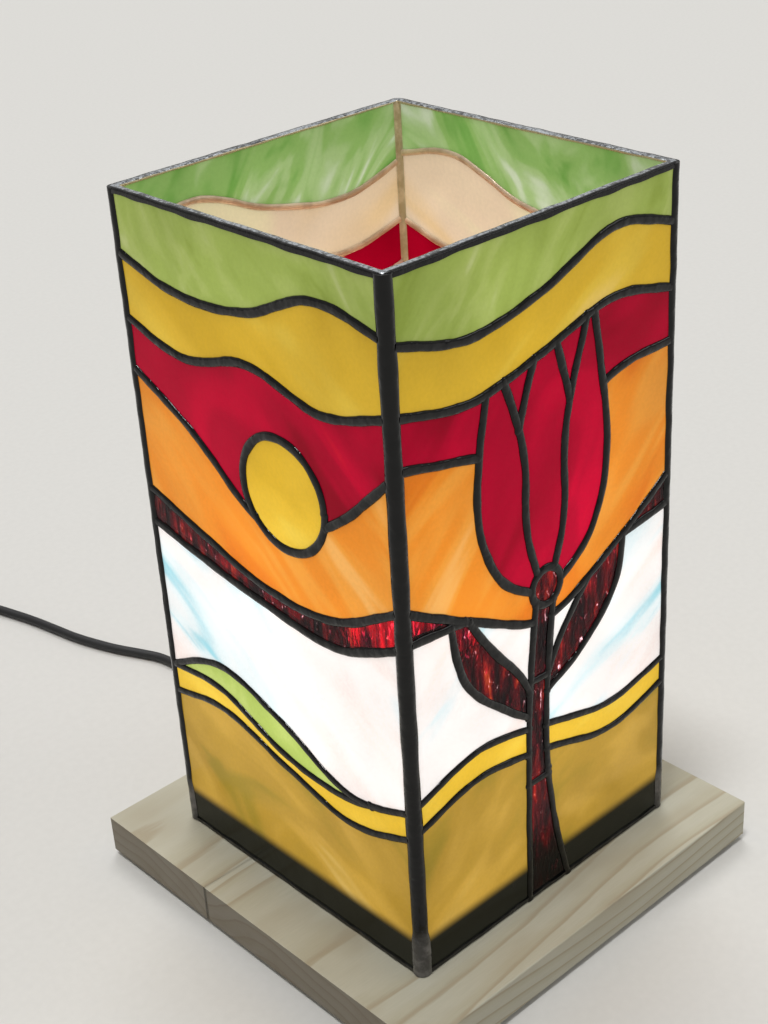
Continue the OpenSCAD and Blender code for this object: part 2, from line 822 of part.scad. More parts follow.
module holder_cup() {
    room = shell_r + shell_wall + fit;
    recess_r = 13;
    rivet_hole_d = rivet_d + 2 * fit;
    color("#ece8df")
        difference() {
            translate([0, 0, boss_top]) cylinder(h = cup_h, r = boss_r, $fn = round_fn);
            translate([0, 0, cup_floor_z]) cylinder(h = cup_h, r = room, $fn = round_fn);
            translate([0, 0, boss_top - 1]) cylinder(h = cup_recess + 1, r = recess_r, $fn = round_fn);
            translate([0, 0, boss_top]) cylinder(h = cup_h, d = rivet_hole_d, $fn = round_fn);
        }
}

module holder_shell() {
    lip = 1;
    color("#c8a95a")
        translate([0, 0, cup_floor_z])
            difference() {
                union() {
                    cylinder(h = shell_h, r = shell_r + shell_wall, $fn = round_fn);
                    translate([0, 0, shell_h - lip])
                        cylinder(h = lip, r = shell_r + shell_wall + lip, $fn = round_fn);
                }
                translate([0, 0, -1]) cylinder(h = shell_h + 2, r = shell_r, $fn = round_fn);
            }
}

// The centre contact is riveted through the cup's floor, and two terminals hang below it
module holder_contacts() {
    floor_under = boss_top + cup_recess;
    wire_hole_d = 2;
    color("#c8a95a") {
        translate([0, 0, cup_floor_z]) cylinder(h = contact_t, d = tip_d, $fn = round_fn);
        translate([0, 0, floor_under]) cylinder(h = cup_floor, d = rivet_d, $fn = round_fn);
        for (side = [-1, 1])
            difference() {
                translate([side * (terminal_x + terminal_size[0] / 2) - terminal_size[0] / 2,
                    -terminal_size[1] / 2, floor_under - terminal_size[2]])
                    cube(terminal_size);
                translate([side * (terminal_x + 0.7 * terminal_size[0]), 0,
                    floor_under - terminal_size[2] / 2])
                    rotate([90, 0, 0])
                        cylinder(h = 2 * terminal_size[1], d = wire_hole_d, center = true,
                            $fn = round_fn);
            }
    }
}

// Bulb

dome_r = bulb_d / 2;
dome_z = bulb_z + bulb_l - dome_r;
body_top = bulb_z + bulb_l - dome_h;
join_r = sqrt(dome_r * dome_r - (dome_z - body_top) * (dome_z - body_top));
cap_core_r = cap_d / 2 - thread_h;
cap_inner_r = cap_core_r - cap_wall;
cap_top = cap_z + cap_h;
neck_plug = 6;

module bulb_tip() {
    color("#b9b4a6")
        translate([0, 0, bulb_z])
            cylinder(h = tip_h, d = tip_d, $fn = round_fn);
}

module bulb_insulator() {
    color("#202022")
        turned([
            [0, bulb_z + tip_h], [tip_d / 2 + 0.5, bulb_z + tip_h], [cap_core_r - 1, cap_z], [0, cap_z]
        ]);
}

module bulb_cap() {
    chamfer = 1;
    first_thread = 1.4;
    plain_h = 4;
    seat_r = cap_core_r - 2;
    rings = floor((cap_h - plain_h) / thread_pitch);
    color("#c3c5c8")
        turned(concat(
            [[seat_r, cap_z], [cap_core_r - chamfer, cap_z], [cap_core_r, cap_z + chamfer]],
            [for (i = [0 : rings - 1])
                let (z = cap_z + first_thread + i * thread_pitch)
                for (p = [[cap_core_r, 0], [cap_d / 2, 0.34], [cap_d / 2, 0.52], [cap_core_r, 0.86]])
                    [p[0], z + p[1] * thread_pitch]],
            [[cap_core_r, cap_top], [cap_inner_r, cap_top], [cap_inner_r, cap_z + chamfer],
             [seat_r, cap_z + cap_wall]]));
}

module bulb_body() {
    neck = neck_d / 2;
    plug_r = cap_inner_r - fit;
    rise = body_top - cap_top;
    // Shares of the way from the neck out to the dome, and up to it
    swell = [[0, 0], [0.04, 0.2], [0.3, 0.45], [0.72, 0.74], [1, 1]];
    side = curve([for (s = swell) [neck + s[0] * (join_r - neck), cap_top + s[1] * rise]], 4);
    inner = [for (p = side) [p[0] - bulb_wall, p[1]]];
    color("#e9e8e4")
        turned(concat(
            [[plug_r - bulb_wall, cap_top - neck_plug], [plug_r, cap_top - neck_plug],
             [plug_r, cap_top]],
            side, [[0, body_top], [0, body_top - bulb_wall]],
            [for (i = [len(inner) - 2 : -1 : 1]) if (inner[i][1] < body_top - bulb_wall) inner[i]]));
}

module bulb_board() {
    color("#f1efe9")
        translate([0, 0, body_top])
            cylinder(h = led_board_t, r = join_r - bulb_wall - 1, $fn = round_fn);
}

module bulb_dome() {
    color("#fff6e2")
        translate([0, 0, dome_z])
            rotate_extrude($fn = 96)
                intersection() {
                    difference() {
                        circle(r = dome_r, $fn = 96);
                        circle(r = dome_r - bulb_wall, $fn = 96);
                    }
                    translate([0, body_top - dome_z]) square([dome_r + 1, 2 * dome_r]);
                }
}

// Glass

green = "#9ab461";
yellow = "#d1a833";
red = "#bd0a33";
orange = "#ed9a40";
maroon = "#2b0a0a";
white = "#f4efe9";
amber = "#b88c40";

module front_solder() {
    solder(bloom_design, 0);
}

module front_green() {
    glass(bloom_design, "green", 0, green);
}

module front_yellow() {
    glass(bloom_design, "yellow", 0, yellow);
}

module front_red() {
    glass(bloom_design, "red", 0, red);
}

module front_orange() {
    glass(bloom_design, "orange", 0, orange);
}

module front_maroon() {
    glass(bloom_design, "maroon", 0, maroon);
}

module front_white() {
    glass(bloom_design, "white", 0, white);
}

module front_amber() {
    glass(bloom_design, "amber", 0, amber);
}

module rear_solder() {
    solder(bloom_design, 2);
}

module rear_green() {
    glass(bloom_design, "green", 2, green);
}

module rear_yellow() {
    glass(bloom_design, "yellow", 2, yellow);
}

module rear_red() {
    glass(bloom_design, "red", 2, red);
}

module rear_orange() {
    glass(bloom_design, "orange", 2, orange);
}

module rear_maroon() {
    glass(bloom_design, "maroon", 2, maroon);
}

module rear_white() {
    glass(bloom_design, "white", 2, white);
}

module rear_amber() {
    glass(bloom_design, "amber", 2, amber);
}

module left_solder() {
    solder(sun_design, 3);
}

module left_green() {
    glass(sun_design, "green", 3, green);
}

module left_yellow() {
    glass(sun_design, "yellow", 3, yellow);
}

module left_red() {
    glass(sun_design, "red", 3, red);
}

module left_orange() {
    glass(sun_design, "orange", 3, orange);
}

module left_white() {
    glass(sun_design, "white", 3, white);
}

module left_amber() {
    glass(sun_design, "amber", 3, amber);
}

module right_solder() {
    solder(sun_design, 1);
}

module right_green() {
    glass(sun_design, "green", 1, green);
}

module right_yellow() {
    glass(sun_design, "yellow", 1, yellow);
}

module right_red() {
    glass(sun_design, "red", 1, red);
}

module right_orange() {
    glass(sun_design, "orange", 1, orange);
}

module right_white() {
    glass(sun_design, "white", 1, white);
}

module right_amber() {
    glass(sun_design, "amber", 1, amber);
}

base_board_front();
base_board_rear();
plinth();
pads();
wood_screws();
inner_lead();
cord_clamp();
strain_relief();
cord_lead();
cord_coil();
coil_tie();
plug_body();
plug_pins();
switch_lower();
switch_upper();
rocker();
holder_base();
holder_skirt();
holder_cup();
holder_shell();
holder_contacts();
bulb_tip();
bulb_insulator();
bulb_cap();
bulb_body();
bulb_board();
bulb_dome();
front_solder();
rear_solder();
left_solder();
right_solder();
corner_seams();
top_rim();
bottom_rim();
front_green();
front_yellow();
front_red();
front_orange();
front_maroon();
front_white();
front_amber();
rear_green();
rear_yellow();
rear_red();
rear_orange();
rear_maroon();
rear_white();
rear_amber();
left_green();
left_yellow();
left_red();
left_orange();
left_white();
left_amber();
right_green();
right_yellow();
right_red();
right_orange();
right_white();
right_amber();
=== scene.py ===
"""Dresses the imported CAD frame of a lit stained-glass table lamp.

The glass, the wood, the lamp holder, the bulb, the switch and the plug keep their CAD solids
and get procedural materials. The solder lines, seams and rims, the mains lead, its strain
relief and its tie are modelled here in place of plainer solids.

Everything is in metres in the CAD frame: +Z up, -Y towards the front panel, and the origin
on the table under the middle of the base.
"""

import math

import bmesh
import bpy
import numpy as np
from mathutils import Matrix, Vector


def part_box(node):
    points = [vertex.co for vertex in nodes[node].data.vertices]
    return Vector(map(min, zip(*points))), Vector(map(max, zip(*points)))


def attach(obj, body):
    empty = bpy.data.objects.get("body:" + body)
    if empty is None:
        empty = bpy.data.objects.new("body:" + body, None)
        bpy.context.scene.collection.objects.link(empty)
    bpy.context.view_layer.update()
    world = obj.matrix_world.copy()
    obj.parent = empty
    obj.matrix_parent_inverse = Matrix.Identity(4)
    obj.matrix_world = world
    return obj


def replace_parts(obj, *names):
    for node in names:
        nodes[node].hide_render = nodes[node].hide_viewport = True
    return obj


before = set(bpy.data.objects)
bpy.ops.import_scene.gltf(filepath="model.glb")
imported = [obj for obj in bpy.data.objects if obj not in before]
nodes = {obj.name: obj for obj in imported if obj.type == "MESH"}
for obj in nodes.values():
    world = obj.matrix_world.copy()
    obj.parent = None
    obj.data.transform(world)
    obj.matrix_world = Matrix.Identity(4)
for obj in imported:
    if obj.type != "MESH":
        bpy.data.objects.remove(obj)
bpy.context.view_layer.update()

MM = 0.001

# ---------------------------------------------------------------- places from the frame

OUTER_FACE = -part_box("front_green")[0].y
INNER_FACE = -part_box("front_green")[1].y
GLASS_MIDDLE = (OUTER_FACE + INNER_FACE) / 2
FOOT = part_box("bottom_rim")[0].z
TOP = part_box("top_rim")[1].z
PLINTH_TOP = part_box("plinth")[1].z
BOARD_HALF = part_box("base_board_front")[1].x
STAVE_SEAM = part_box("base_board_front")[1].y
DOME_LOW, DOME_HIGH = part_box("bulb_dome")
DOME_RADIUS = DOME_HIGH.x
LIGHT_Z = DOME_HIGH.z - DOME_RADIUS

# ---------------------------------------------------------------- camera

CAMERA_AT = (-0.41329, -0.44917, 0.50457)
CAMERA_AZIMUTH = math.radians(-41.664)
CAMERA_ELEVATION = math.radians(28.404)
CAMERA_ROLL = math.radians(-3.522)
CAMERA_LENS = 59.67
CAMERA_SENSOR = 36


def make_camera():
    a, e, r = CAMERA_AZIMUTH, CAMERA_ELEVATION, CAMERA_ROLL
    back = np.array([math.sin(a) * math.cos(e), -math.cos(a) * math.cos(e), math.sin(e)])
    level = np.array([math.cos(a), math.sin(a), 0])
    plumb = np.cross(back, level)
    right = math.cos(r) * level + math.sin(r) * plumb
    up = math.cos(r) * plumb - math.sin(r) * level
    data = bpy.data.cameras.new("camera")
    data.lens = CAMERA_LENS
    data.sensor_width = CAMERA_SENSOR
    camera = bpy.data.objects.new("camera", data)
    turn = Matrix((right, up, back)).transposed().to_4x4()
    camera.matrix_world = Matrix.Translation(CAMERA_AT) @ turn
    bpy.context.scene.collection.objects.link(camera)
    bpy.context.scene.camera = camera


make_camera()

# ---------------------------------------------------------------- material helpers


def linear(red, green, blue):
    """A colour as it looks on screen, from 0 to 1, as the shader wants it."""
    return tuple(
        c / 12.92 if c <= 0.04045 else ((c + 0.055) / 1.055) ** 2.4 for c in (red, green, blue)
    ) + (1.0,)


NOISE_RANGE = (0.3, 0.7)


class Shader:
    """A material whose node tree is built with short calls."""

    def __init__(self, name):
        self.material = bpy.data.materials.new(name)
        self.material.use_nodes = True
        self.tree = self.material.node_tree
        self.tree.nodes.clear()
        self.place = self.add("ShaderNodeTexCoord").outputs["Object"]
        axes = self.add("ShaderNodeSeparateXYZ", Vector=self.place)
        self.x, self.y, self.z = axes.outputs

    def add(self, kind, settings=None, **inputs):
        node = self.tree.nodes.new(kind)
        for name, value in (settings or {}).items():
            setattr(node, name, value)
        for name, value in inputs.items():
            self.put(node.inputs[name.replace("_", " ")], value)
        return node

    def put(self, socket, value):
        if isinstance(value, bpy.types.NodeSocket):
            self.tree.links.new(value, socket)
        elif socket.type == "VECTOR":
            socket.default_value = value[:3]
        else:
            socket.default_value = value

    def math(self, operation, *values):
        node = self.add("ShaderNodeMath", {"operation": operation})
        for socket, value in zip(node.inputs, values):
            self.put(socket, value)
        return node.outputs[0]

    def product(self, first, *others):
        for other in others:
            first = self.math("MULTIPLY", first, other)
        return first

    def blend(self, share, first, second):
        node = self.add("ShaderNodeMix", {"data_type": "RGBA"})
        sockets = (node.inputs[0], node.inputs[6], node.inputs[7])
        for socket, value in zip(sockets, (share, first, second)):
            self.put(socket, value)
        return node.outputs[2]

    def times(self, colour, factor):
        """A colour made lighter or darker by a factor."""
        node = self.add("ShaderNodeVectorMath", {"operation": "SCALE"}, Vector=colour, Scale=factor)
        return node.outputs[0]

    def smooth(self, value, low, high):
        """0 below low and 1 above high, with a soft step between."""
        node = self.add(
            "ShaderNodeMapRange",
            {"interpolation_type": "SMOOTHSTEP"},
            Value=value,
            From_Min=low,
            From_Max=high,
        )
        return node.outputs[0]

    def stretch(self, value, low, high, to_low, to_high):
        node = self.add(
            "ShaderNodeMapRange",
            Value=value,
            From_Min=low,
            From_Max=high,
            To_Min=to_low,
            To_Max=to_high,
        )
        return node.outputs[0]

    def vary(self, noise, low, high):
        """The useful part of a noise's range, spread from low to high."""
        return self.stretch(noise, *NOISE_RANGE, low, high)

    def scaled(self, sizes, turn=(0, 0, 0), vector=None):
        """Coordinates in which a feature of these sizes in metres is one unit across."""
        node = self.add(
            "ShaderNodeMapping",
            {"vector_type": "TEXTURE"},
            Vector=self.place if vector is None else vector,
            Rotation=turn,
            Scale=sizes,
        )
        return node.outputs[0]

    def noise(self, vector, detail=2.0, roughness=0.5, distortion=0.0):
        node = self.add(
            "ShaderNodeTexNoise",
            Vector=vector,
            Scale=1.0,
            Detail=detail,
            Roughness=roughness,
            Distortion=distortion,
        )
        return node.outputs[0]

    def specks(self, size, detail=2.0, roughness=0.5, distortion=0.0):
        """Noise of one size in all directions."""
        return self.noise(self.scaled((size,) * 3), detail, roughness, distortion)

    def ramp(self, value, stops):
        node = self.add("ShaderNodeValToRGB", Fac=value)
        ramp = node.color_ramp
        ramp.interpolation = "EASE"
        while len(ramp.elements) < len(stops):
            ramp.elements.new(0.5)
        for element, (position, colour) in zip(ramp.elements, stops):
            element.position = position
            element.color = colour
        return node.outputs[0]

    def bump(self, height, distance, strength=1.0):
        node = self.add("ShaderNodeBump", Height=height, Distance=distance, Strength=strength)
        return node.outputs[0]

    def principled(self, **inputs):
        return self.add("ShaderNodeBsdfPrincipled", **inputs).outputs[0]

    def finish(self, surface):
        self.add("ShaderNodeOutputMaterial", Surface=surface)
        return self.material


# ---------------------------------------------------------------- glass

LIGHT_REACH = 0.15
BAND_EDGE = (PLINTH_TOP - 3 * MM, PLINTH_TOP + 3.5 * MM)
FOIL_SHADE_REACH = 3.5 * MM
FOIL_SHADE = (0.72, 0.97, 0.62, 1.0)
RED_BAND_TOP = FOOT + 175 * MM
BULB_GLOW = 8.0
SHADOW_GREEN = linear(0.12, 0.125, 0.09)
TONE_STOPS = (0.30, 0.46, 0.58, 0.72)


def panel_place(s):
    """Coordinates along and up a panel, with another slice of the noise on each pair of panels."""
    along = s.math("ADD", s.x, s.y)
    turned = s.math("GREATER_THAN", s.math("ABSOLUTE", s.y), s.math("ABSOLUTE", s.x))
    slice_at = s.product(turned, 0.37)
    return s.add("ShaderNodeCombineXYZ", X=along, Y=slice_at, Z=s.z).outputs[0]


def from_middle(s):
    """Distance of a point on a panel from the lamp's upright axis, square to the panel."""
    return s.math("MAXIMUM", s.math("ABSOLUTE", s.x), s.math("ABSOLUTE", s.y))


def lit_share(s):
    """How strongly the bulb lights a point: 1 on the panel beside it, less with distance."""
    rise = s.math("SUBTRACT", s.z, LIGHT_Z)
    squares = s.math("ADD", s.product(s.x, s.x), s.product(s.y, s.y))
    squares = s.math("ADD", squares, s.product(rise, rise))
    fall = s.math("ADD", s.product(squares, 1 / LIGHT_REACH**2), 1.0)
    return s.math("DIVIDE", 1 + (OUTER_FACE / LIGHT_REACH) ** 2, fall)


def over_plinth(s):
    """0 on the outside of the glass in front of the plinth, where shade is painted, and 1 elsewhere.
    """
    above = s.smooth(s.z, *BAND_EDGE)
    inside = s.math("LESS_THAN", from_middle(s), GLASS_MIDDLE)
    return s.math("MAXIMUM", above, inside)


def beside_solder(s):
    """1 on open glass, and less close to a bead, where the foil on the back stops the light."""
    nearness = s.add("ShaderNodeAmbientOcclusion", {"samples": 6}, Distance=FOIL_SHADE_REACH)
    return s.stretch(nearness.outputs["AO"], *FOIL_SHADE)


def opal_surface(s, outside, inside, streak, slant, swirl, glow, stops=TONE_STOPS, shine=0.12):
    """Opalescent glass with the bulb's light painted on it as emission. Its tones run from its dark
    streaks to its pale ones.
    """
    place = panel_place(s)
    tilt = (0, math.radians(slant), 0)
    streaks = s.noise(s.scaled((streak[0], 1, streak[1]), tilt, place), 2.5, 0.5, swirl)
    outer = s.ramp(streaks, [(stop, linear(*tone)) for stop, tone in zip(stops, outside)])
    inner = s.ramp(streaks, [(stop, linear(*tone)) for stop, tone in zip(stops, inside)])
    is_inner = s.math("LESS_THAN", from_middle(s), GLASS_MIDDLE)
    tone = s.blend(is_inner, outer, inner)
    cloud = s.vary(s.noise(s.scaled((0.045, 1, 0.045), (0, 0, 0), place), 2.0), 0.88, 1.1)
    grain = s.vary(s.specks(0.0016), 0.97, 1.03)
    tone = s.times(tone, s.product(cloud, grain))
    # Painted shade: over the plinth the glass takes SHADOW_GREEN as its base colour and loses its
    # painted glow.
    open_share = over_plinth(s)
    reflected = s.stretch(is_inner, 0.0, 1.0, 0.34, 0.2)
    body = s.blend(open_share, SHADOW_GREEN, s.times(tone, reflected))
    # Painted light: the bulb's glow as emission, outside tones through the glass and inside tones on
    # its inner face.
    light = s.product(lit_share(s), open_share, glow)
    light = s.product(light, beside_solder(s))
    ripple = s.noise(s.scaled((0.009, 0.009, 0.014)), 2.0)
    return s.principled(
        Base_Color=body,
        Roughness=0.13,
        Specular_IOR_Level=shine,
        Emission_Color=tone,
        Emission_Strength=light,
        Normal=s.bump(ripple, 0.4 * MM, 0.35),
    )


def maroon_surface(s):
    """Dark red hammered glass. The bulb's light through it is painted as emission: streaks of fire
    and small glints.
    """
    hammer = s.noise(s.scaled((0.0022, 0.0022, 0.0055)), 2.5, 0.55, 0.6)
    streaks = s.noise(s.scaled((0.005, 0.005, 0.026)), 2.5, 0.55, 0.3)
    open_share = over_plinth(s)
    tint = s.ramp(streaks, [(0.38, linear(0.06, 0.0, 0.01)), (0.70, linear(0.42, 0.01, 0.05))])
    # Painted shade: the tint is made much darker in front of the plinth, and the painted glow stops
    # there.
    tint = s.times(tint, s.stretch(open_share, 0.0, 1.0, 0.12, 1.0))
    lit = s.product(lit_share(s), open_share)
    embers = s.math("ADD", s.product(streaks, 0.72), s.product(hammer, 0.28))
    fire = s.ramp(
        embers,
        [
            (0.46, linear(0.03, 0.0, 0.01)),
            (0.55, linear(0.24, 0.01, 0.05)),
            (0.62, linear(0.52, 0.10, 0.07)),
            (0.70, linear(0.80, 0.32, 0.16)),
        ],
    )
    peaks = s.smooth(hammer, 0.60, 0.74)
    tint = s.blend(peaks, tint, linear(0.80, 0.36, 0.42))
    glint = s.product(s.smooth(hammer, 0.66, 0.75), s.smooth(lit, 0.80, 0.98))
    glow = s.math("ADD", glint, s.product(s.math("POWER", lit, 2.0), 0.9))
    return s.principled(
        Base_Color=tint,
        Roughness=0.04,
        IOR=1.2,
        Transmission_Weight=0.95,
        Emission_Color=s.blend(glint, fire, linear(1.0, 0.78, 0.82)),
        Emission_Strength=glow,
        Normal=s.bump(hammer, 0.5 * MM, 0.6),
    )


def opal(name, **settings):
    s = Shader(name)
    return s.finish(opal_surface(s, **settings))


def make_green():
    return opal(
        "glass_green",
        outside=[(0.57, 0.64, 0.27), (0.62, 0.69, 0.33), (0.66, 0.72, 0.38), (0.73, 0.77, 0.49)],
        inside=[(0.46, 0.67, 0.31), (0.58, 0.74, 0.41), (0.68, 0.80, 0.53), (0.83, 0.89, 0.75)],
        streak=(0.075, 0.034),
        slant=-52,
        swirl=2.2,
        glow=1.32,
    )


def make_yellow():
    return opal(
        "glass_yellow",
        outside=[(0.81, 0.65, 0.14), (0.85, 0.69, 0.18), (0.87, 0.73, 0.24), (0.93, 0.80, 0.46)],
        inside=[(0.95, 0.82, 0.62), (0.96, 0.86, 0.73), (0.97, 0.92, 0.74), (0.99, 0.91, 0.86)],
        streak=(0.14, 0.05),
        slant=-30,
        swirl=0.9,
        glow=1.2,
    )


def make_orange():
    return opal(
        "glass_orange",
        outside=[(0.90, 0.48, 0.08), (0.94, 0.56, 0.14), (0.95, 0.62, 0.22), (0.97, 0.70, 0.36)],
        inside=[(0.92, 0.50, 0.18), (0.97, 0.62, 0.28), (0.98, 0.74, 0.42), (1.0, 0.86, 0.66)],
        streak=(0.10, 0.026),
        slant=-42,
        swirl=0.9,
        glow=0.92,
    )


def make_white():
    return opal(
        "glass_white",
        outside=[(0.60, 0.85, 0.90), (0.92, 0.96, 0.965), (0.99, 0.965, 0.95), (0.98, 0.91, 0.88)],
        inside=[(0.66, 0.84, 0.88), (0.92, 0.93, 0.93), (1.0, 0.96, 0.93), (1.0, 0.92, 0.88)],
        streak=(0.12, 0.026),
        slant=-32,
        swirl=0.8,
        glow=0.95,
        stops=(0.27, 0.375, 0.48, 0.70),
    )


def make_amber():
    return opal(
        "glass_amber",
        outside=[(0.61, 0.51, 0.15), (0.71, 0.56, 0.19), (0.77, 0.61, 0.24), (0.83, 0.69, 0.36)],
        inside=[(0.55, 0.42, 0.16), (0.66, 0.50, 0.22), (0.74, 0.58, 0.28), (0.82, 0.68, 0.40)],
        streak=(0.10, 0.045),
        slant=-25,
        swirl=1.2,
        glow=1.0,
    )


def make_red():
    """Selenium red. Below RED_BAND_TOP on the side panels it is the dark hammered glass."""
    s = Shader("glass_red")
    red = opal_surface(
        s,
        outside=[(0.58, 0.0, 0.12), (0.71, 0.0, 0.17), (0.79, 0.0, 0.19), (0.90, 0.10, 0.20)],
        inside=[(0.60, 0.0, 0.10), (0.74, 0.02, 0.16), (0.84, 0.10, 0.20), (0.93, 0.35, 0.32)],
        streak=(0.11, 0.045),
        slant=-50,
        swirl=0.9,
        glow=0.95,
        shine=0.05,
    )
    in_band = s.math("LESS_THAN", s.z, RED_BAND_TOP)
    on_side = s.math("GREATER_THAN", s.math("ABSOLUTE", s.x), s.math("ABSOLUTE", s.y))
    share = s.product(in_band, on_side)
    both = s.add("ShaderNodeMixShader", Fac=share)
    s.tree.links.new(red, both.inputs[1])
    s.tree.links.new(maroon_surface(s), both.inputs[2])
    return s.finish(both.outputs[0])


def make_maroon():
    s = Shader("glass_maroon")
    return s.finish(maroon_surface(s))


# ---------------------------------------------------------------- solder, metal and wood

SEAM_FOOT = 18 * MM


def make_black_solder(name, grey_below=None):
    """Solder with a black patina. Given a height, it is grey below that height and pale inside."""
    s = Shader(name)
    blotch = s.specks(0.006, 3.0, 0.6)
    colour = s.ramp(blotch, [(0.35, linear(0.015, 0.015, 0.015)), (0.75, linear(0.06, 0.058, 0.055))])
    rough = s.vary(s.specks(0.004), 0.05, 0.16)
    if grey_below is not None:
        grey_share = s.math("SUBTRACT", 1.0, s.smooth(s.z, grey_below - 4 * MM, grey_below + 8 * MM))
        grey = s.ramp(blotch, [(0.35, linear(0.27, 0.265, 0.26)), (0.7, linear(0.42, 0.41, 0.40))])
        colour = s.blend(grey_share, colour, grey)
        inside = s.math("LESS_THAN", from_middle(s), INNER_FACE + 0.2 * MM)
        tan = s.ramp(blotch, [(0.35, linear(0.66, 0.63, 0.51)), (0.7, linear(0.80, 0.77, 0.66))])
        colour = s.blend(inside, colour, tan)
    dents = s.specks(0.0045, 1.5, 0.5, 0.3)
    return s.finish(
        s.principled(
            Base_Color=colour,
            Roughness=rough,
            Specular_IOR_Level=0.27,
            Normal=s.bump(dents, 0.6 * MM, 0.8),
        )
    )


def make_tin(name, pale, dark):
    """Tinned solder that has dulled in patches."""
    s = Shader(name)
    blotch = s.specks(0.012, 3.0, 0.6, 0.5)
    colour = s.ramp(blotch, [(0.36, dark), (0.64, pale)])
    dents = s.specks(0.0035)
    normal = s.bump(dents, 0.3 * MM, 0.5)
    return s.finish(s.principled(Base_Color=colour, Metallic=0.2, Roughness=0.35, Normal=normal))


def make_rim():
    """The top edge: black outside, with bright specks on its crown that are partly worn tin and
    partly painted glints, and tan within.
    """
    s = Shader("rim_tin")
    speck = s.specks(0.0017, 4.0, 0.7)
    patch = s.specks(0.02)
    wear_and_glints = s.math("ADD", speck, s.product(patch, 0.4))
    crown = s.ramp(wear_and_glints, [(0.58, linear(0.36, 0.365, 0.37)), (0.78, linear(0.72, 0.74, 0.76))])
    black = s.ramp(speck, [(0.35, linear(0.05, 0.05, 0.05)), (0.7, linear(0.12, 0.117, 0.113))])
    tan = linear(0.72, 0.67, 0.53)
    outside = s.smooth(from_middle(s), GLASS_MIDDLE + 0.4 * MM, GLASS_MIDDLE + 1.1 * MM)
    within = s.math("LESS_THAN", from_middle(s), INNER_FACE - 0.25 * MM)
    colour = s.blend(within, s.blend(outside, crown, black), tan)
    return s.finish(
        s.principled(
            Base_Color=colour,
            Metallic=0.5,
            Roughness=s.vary(speck, 0.16, 0.36),
            Specular_IOR_Level=0.5,
            Normal=s.bump(speck, 0.2 * MM, 0.6),
        )
    )


def make_wood(name, tones, heart, ring_step, shift):
    """Wood sawn along X: growth rings about a heart line at (y, z), with fine fibres.

    shift moves the noise, so that two boards differ.
    """
    s = Shader(name)
    from_y = s.math("SUBTRACT", s.y, heart[0])
    from_z = s.math("SUBTRACT", s.z, heart[1])
    squares = s.math("ADD", s.product(from_y, from_y), s.product(from_z, from_z))
    radius = s.math("SQRT", squares)
    moved = s.add("ShaderNodeVectorMath", {"operation": "ADD"}, Vector=s.place)
    moved.inputs[1].default_value = shift
    bend = s.noise(s.scaled((0.22, 0.06, 0.06), vector=moved.outputs[0]), 1.0)
    fray = s.noise(s.scaled((0.03, 0.003, 0.003), vector=moved.outputs[0]), 2.0)
    radius = s.math("ADD", radius, s.product(bend, 22 * MM))
    radius = s.math("ADD", radius, s.product(fray, 1.0 * MM))
    ring = s.math("FRACT", s.math("DIVIDE", radius, ring_step))
    pale, middle, late = tones
    colour = s.ramp(ring, [(0.0, pale), (0.35, pale), (0.72, middle), (0.92, late), (1.0, pale)])
    fibre = s.noise(s.scaled((0.012, 0.0005, 0.0005)), 3.0, 0.6)
    colour = s.times(colour, s.vary(fibre, 0.94, 1.05))
    stain = s.noise(s.scaled((0.05, 0.022, 0.022), vector=moved.outputs[0]), 2.0)
    warm = s.stretch(stain, 0.48, 0.72, 0.0, 0.55)
    colour = s.blend(warm, colour, late)
    # Faces that point along X are made darker: partly the end grain's own darker tone, partly painted
    # shade on these sides of the board.
    facing = s.add("ShaderNodeNewGeometry").outputs["True Normal"]
    facing_x = s.add("ShaderNodeSeparateXYZ", Vector=facing).outputs[0]
    end_grain = s.smooth(s.math("ABSOLUTE", facing_x), 0.5, 0.9)
    end_grain_and_painted_shade = s.blend(0.3, s.times(colour, 0.5), linear(0.46, 0.38, 0.31))
    colour = s.blend(end_grain, colour, end_grain_and_painted_shade)
    # Painted shade in the seam between the two boards, darker on the end faces than on the top.
    seam_gap = s.smooth(s.math("ABSOLUTE", s.math("SUBTRACT", s.y, STAVE_SEAM)), 0.2 * MM, 1.4 * MM)
    open_to = s.stretch(end_grain, 0.0, 1.0, 0.8, 0.25)
    colour = s.times(colour, s.stretch(seam_gap, 0.0, 1.0, open_to, 1.0))
    return s.finish(
        s.principled(
            Base_Color=colour,
            Roughness=s.vary(fibre, 0.55, 0.72),
            Normal=s.bump(fibre, 0.15 * MM, 0.5),
        )
    )


SKIN_GRAIN = 0.5 * MM


def make_grained(name, colour, roughness, depth=0.04 * MM, metallic=0.0, spread=0.12):
    """Moulded plastic, rubber or cast metal with a fine skin and faint shading."""
    s = Shader(name)
    skin = s.specks(SKIN_GRAIN)
    patch = s.specks(0.008)
    tone = s.times(colour, s.vary(patch, 1 - spread, 1 + spread))
    rough = s.vary(patch, roughness * 0.85, min(roughness * 1.15, 1))
    normal = s.bump(skin, depth, 0.6)
    return s.finish(
        s.principled(Base_Color=tone, Roughness=rough, Metallic=metallic, Normal=normal)
    )


def make_woven(name, colour):
    """A hook-and-loop strap's short pile."""
    s = Shader(name)
    pile = s.specks(0.0006, 3.0, 0.7)
    tone = s.times(colour, s.vary(pile, 0.6, 1.5))
    return s.finish(s.principled(Base_Color=tone, Roughness=0.95, Normal=s.bump(pile, 0.3 * MM)))


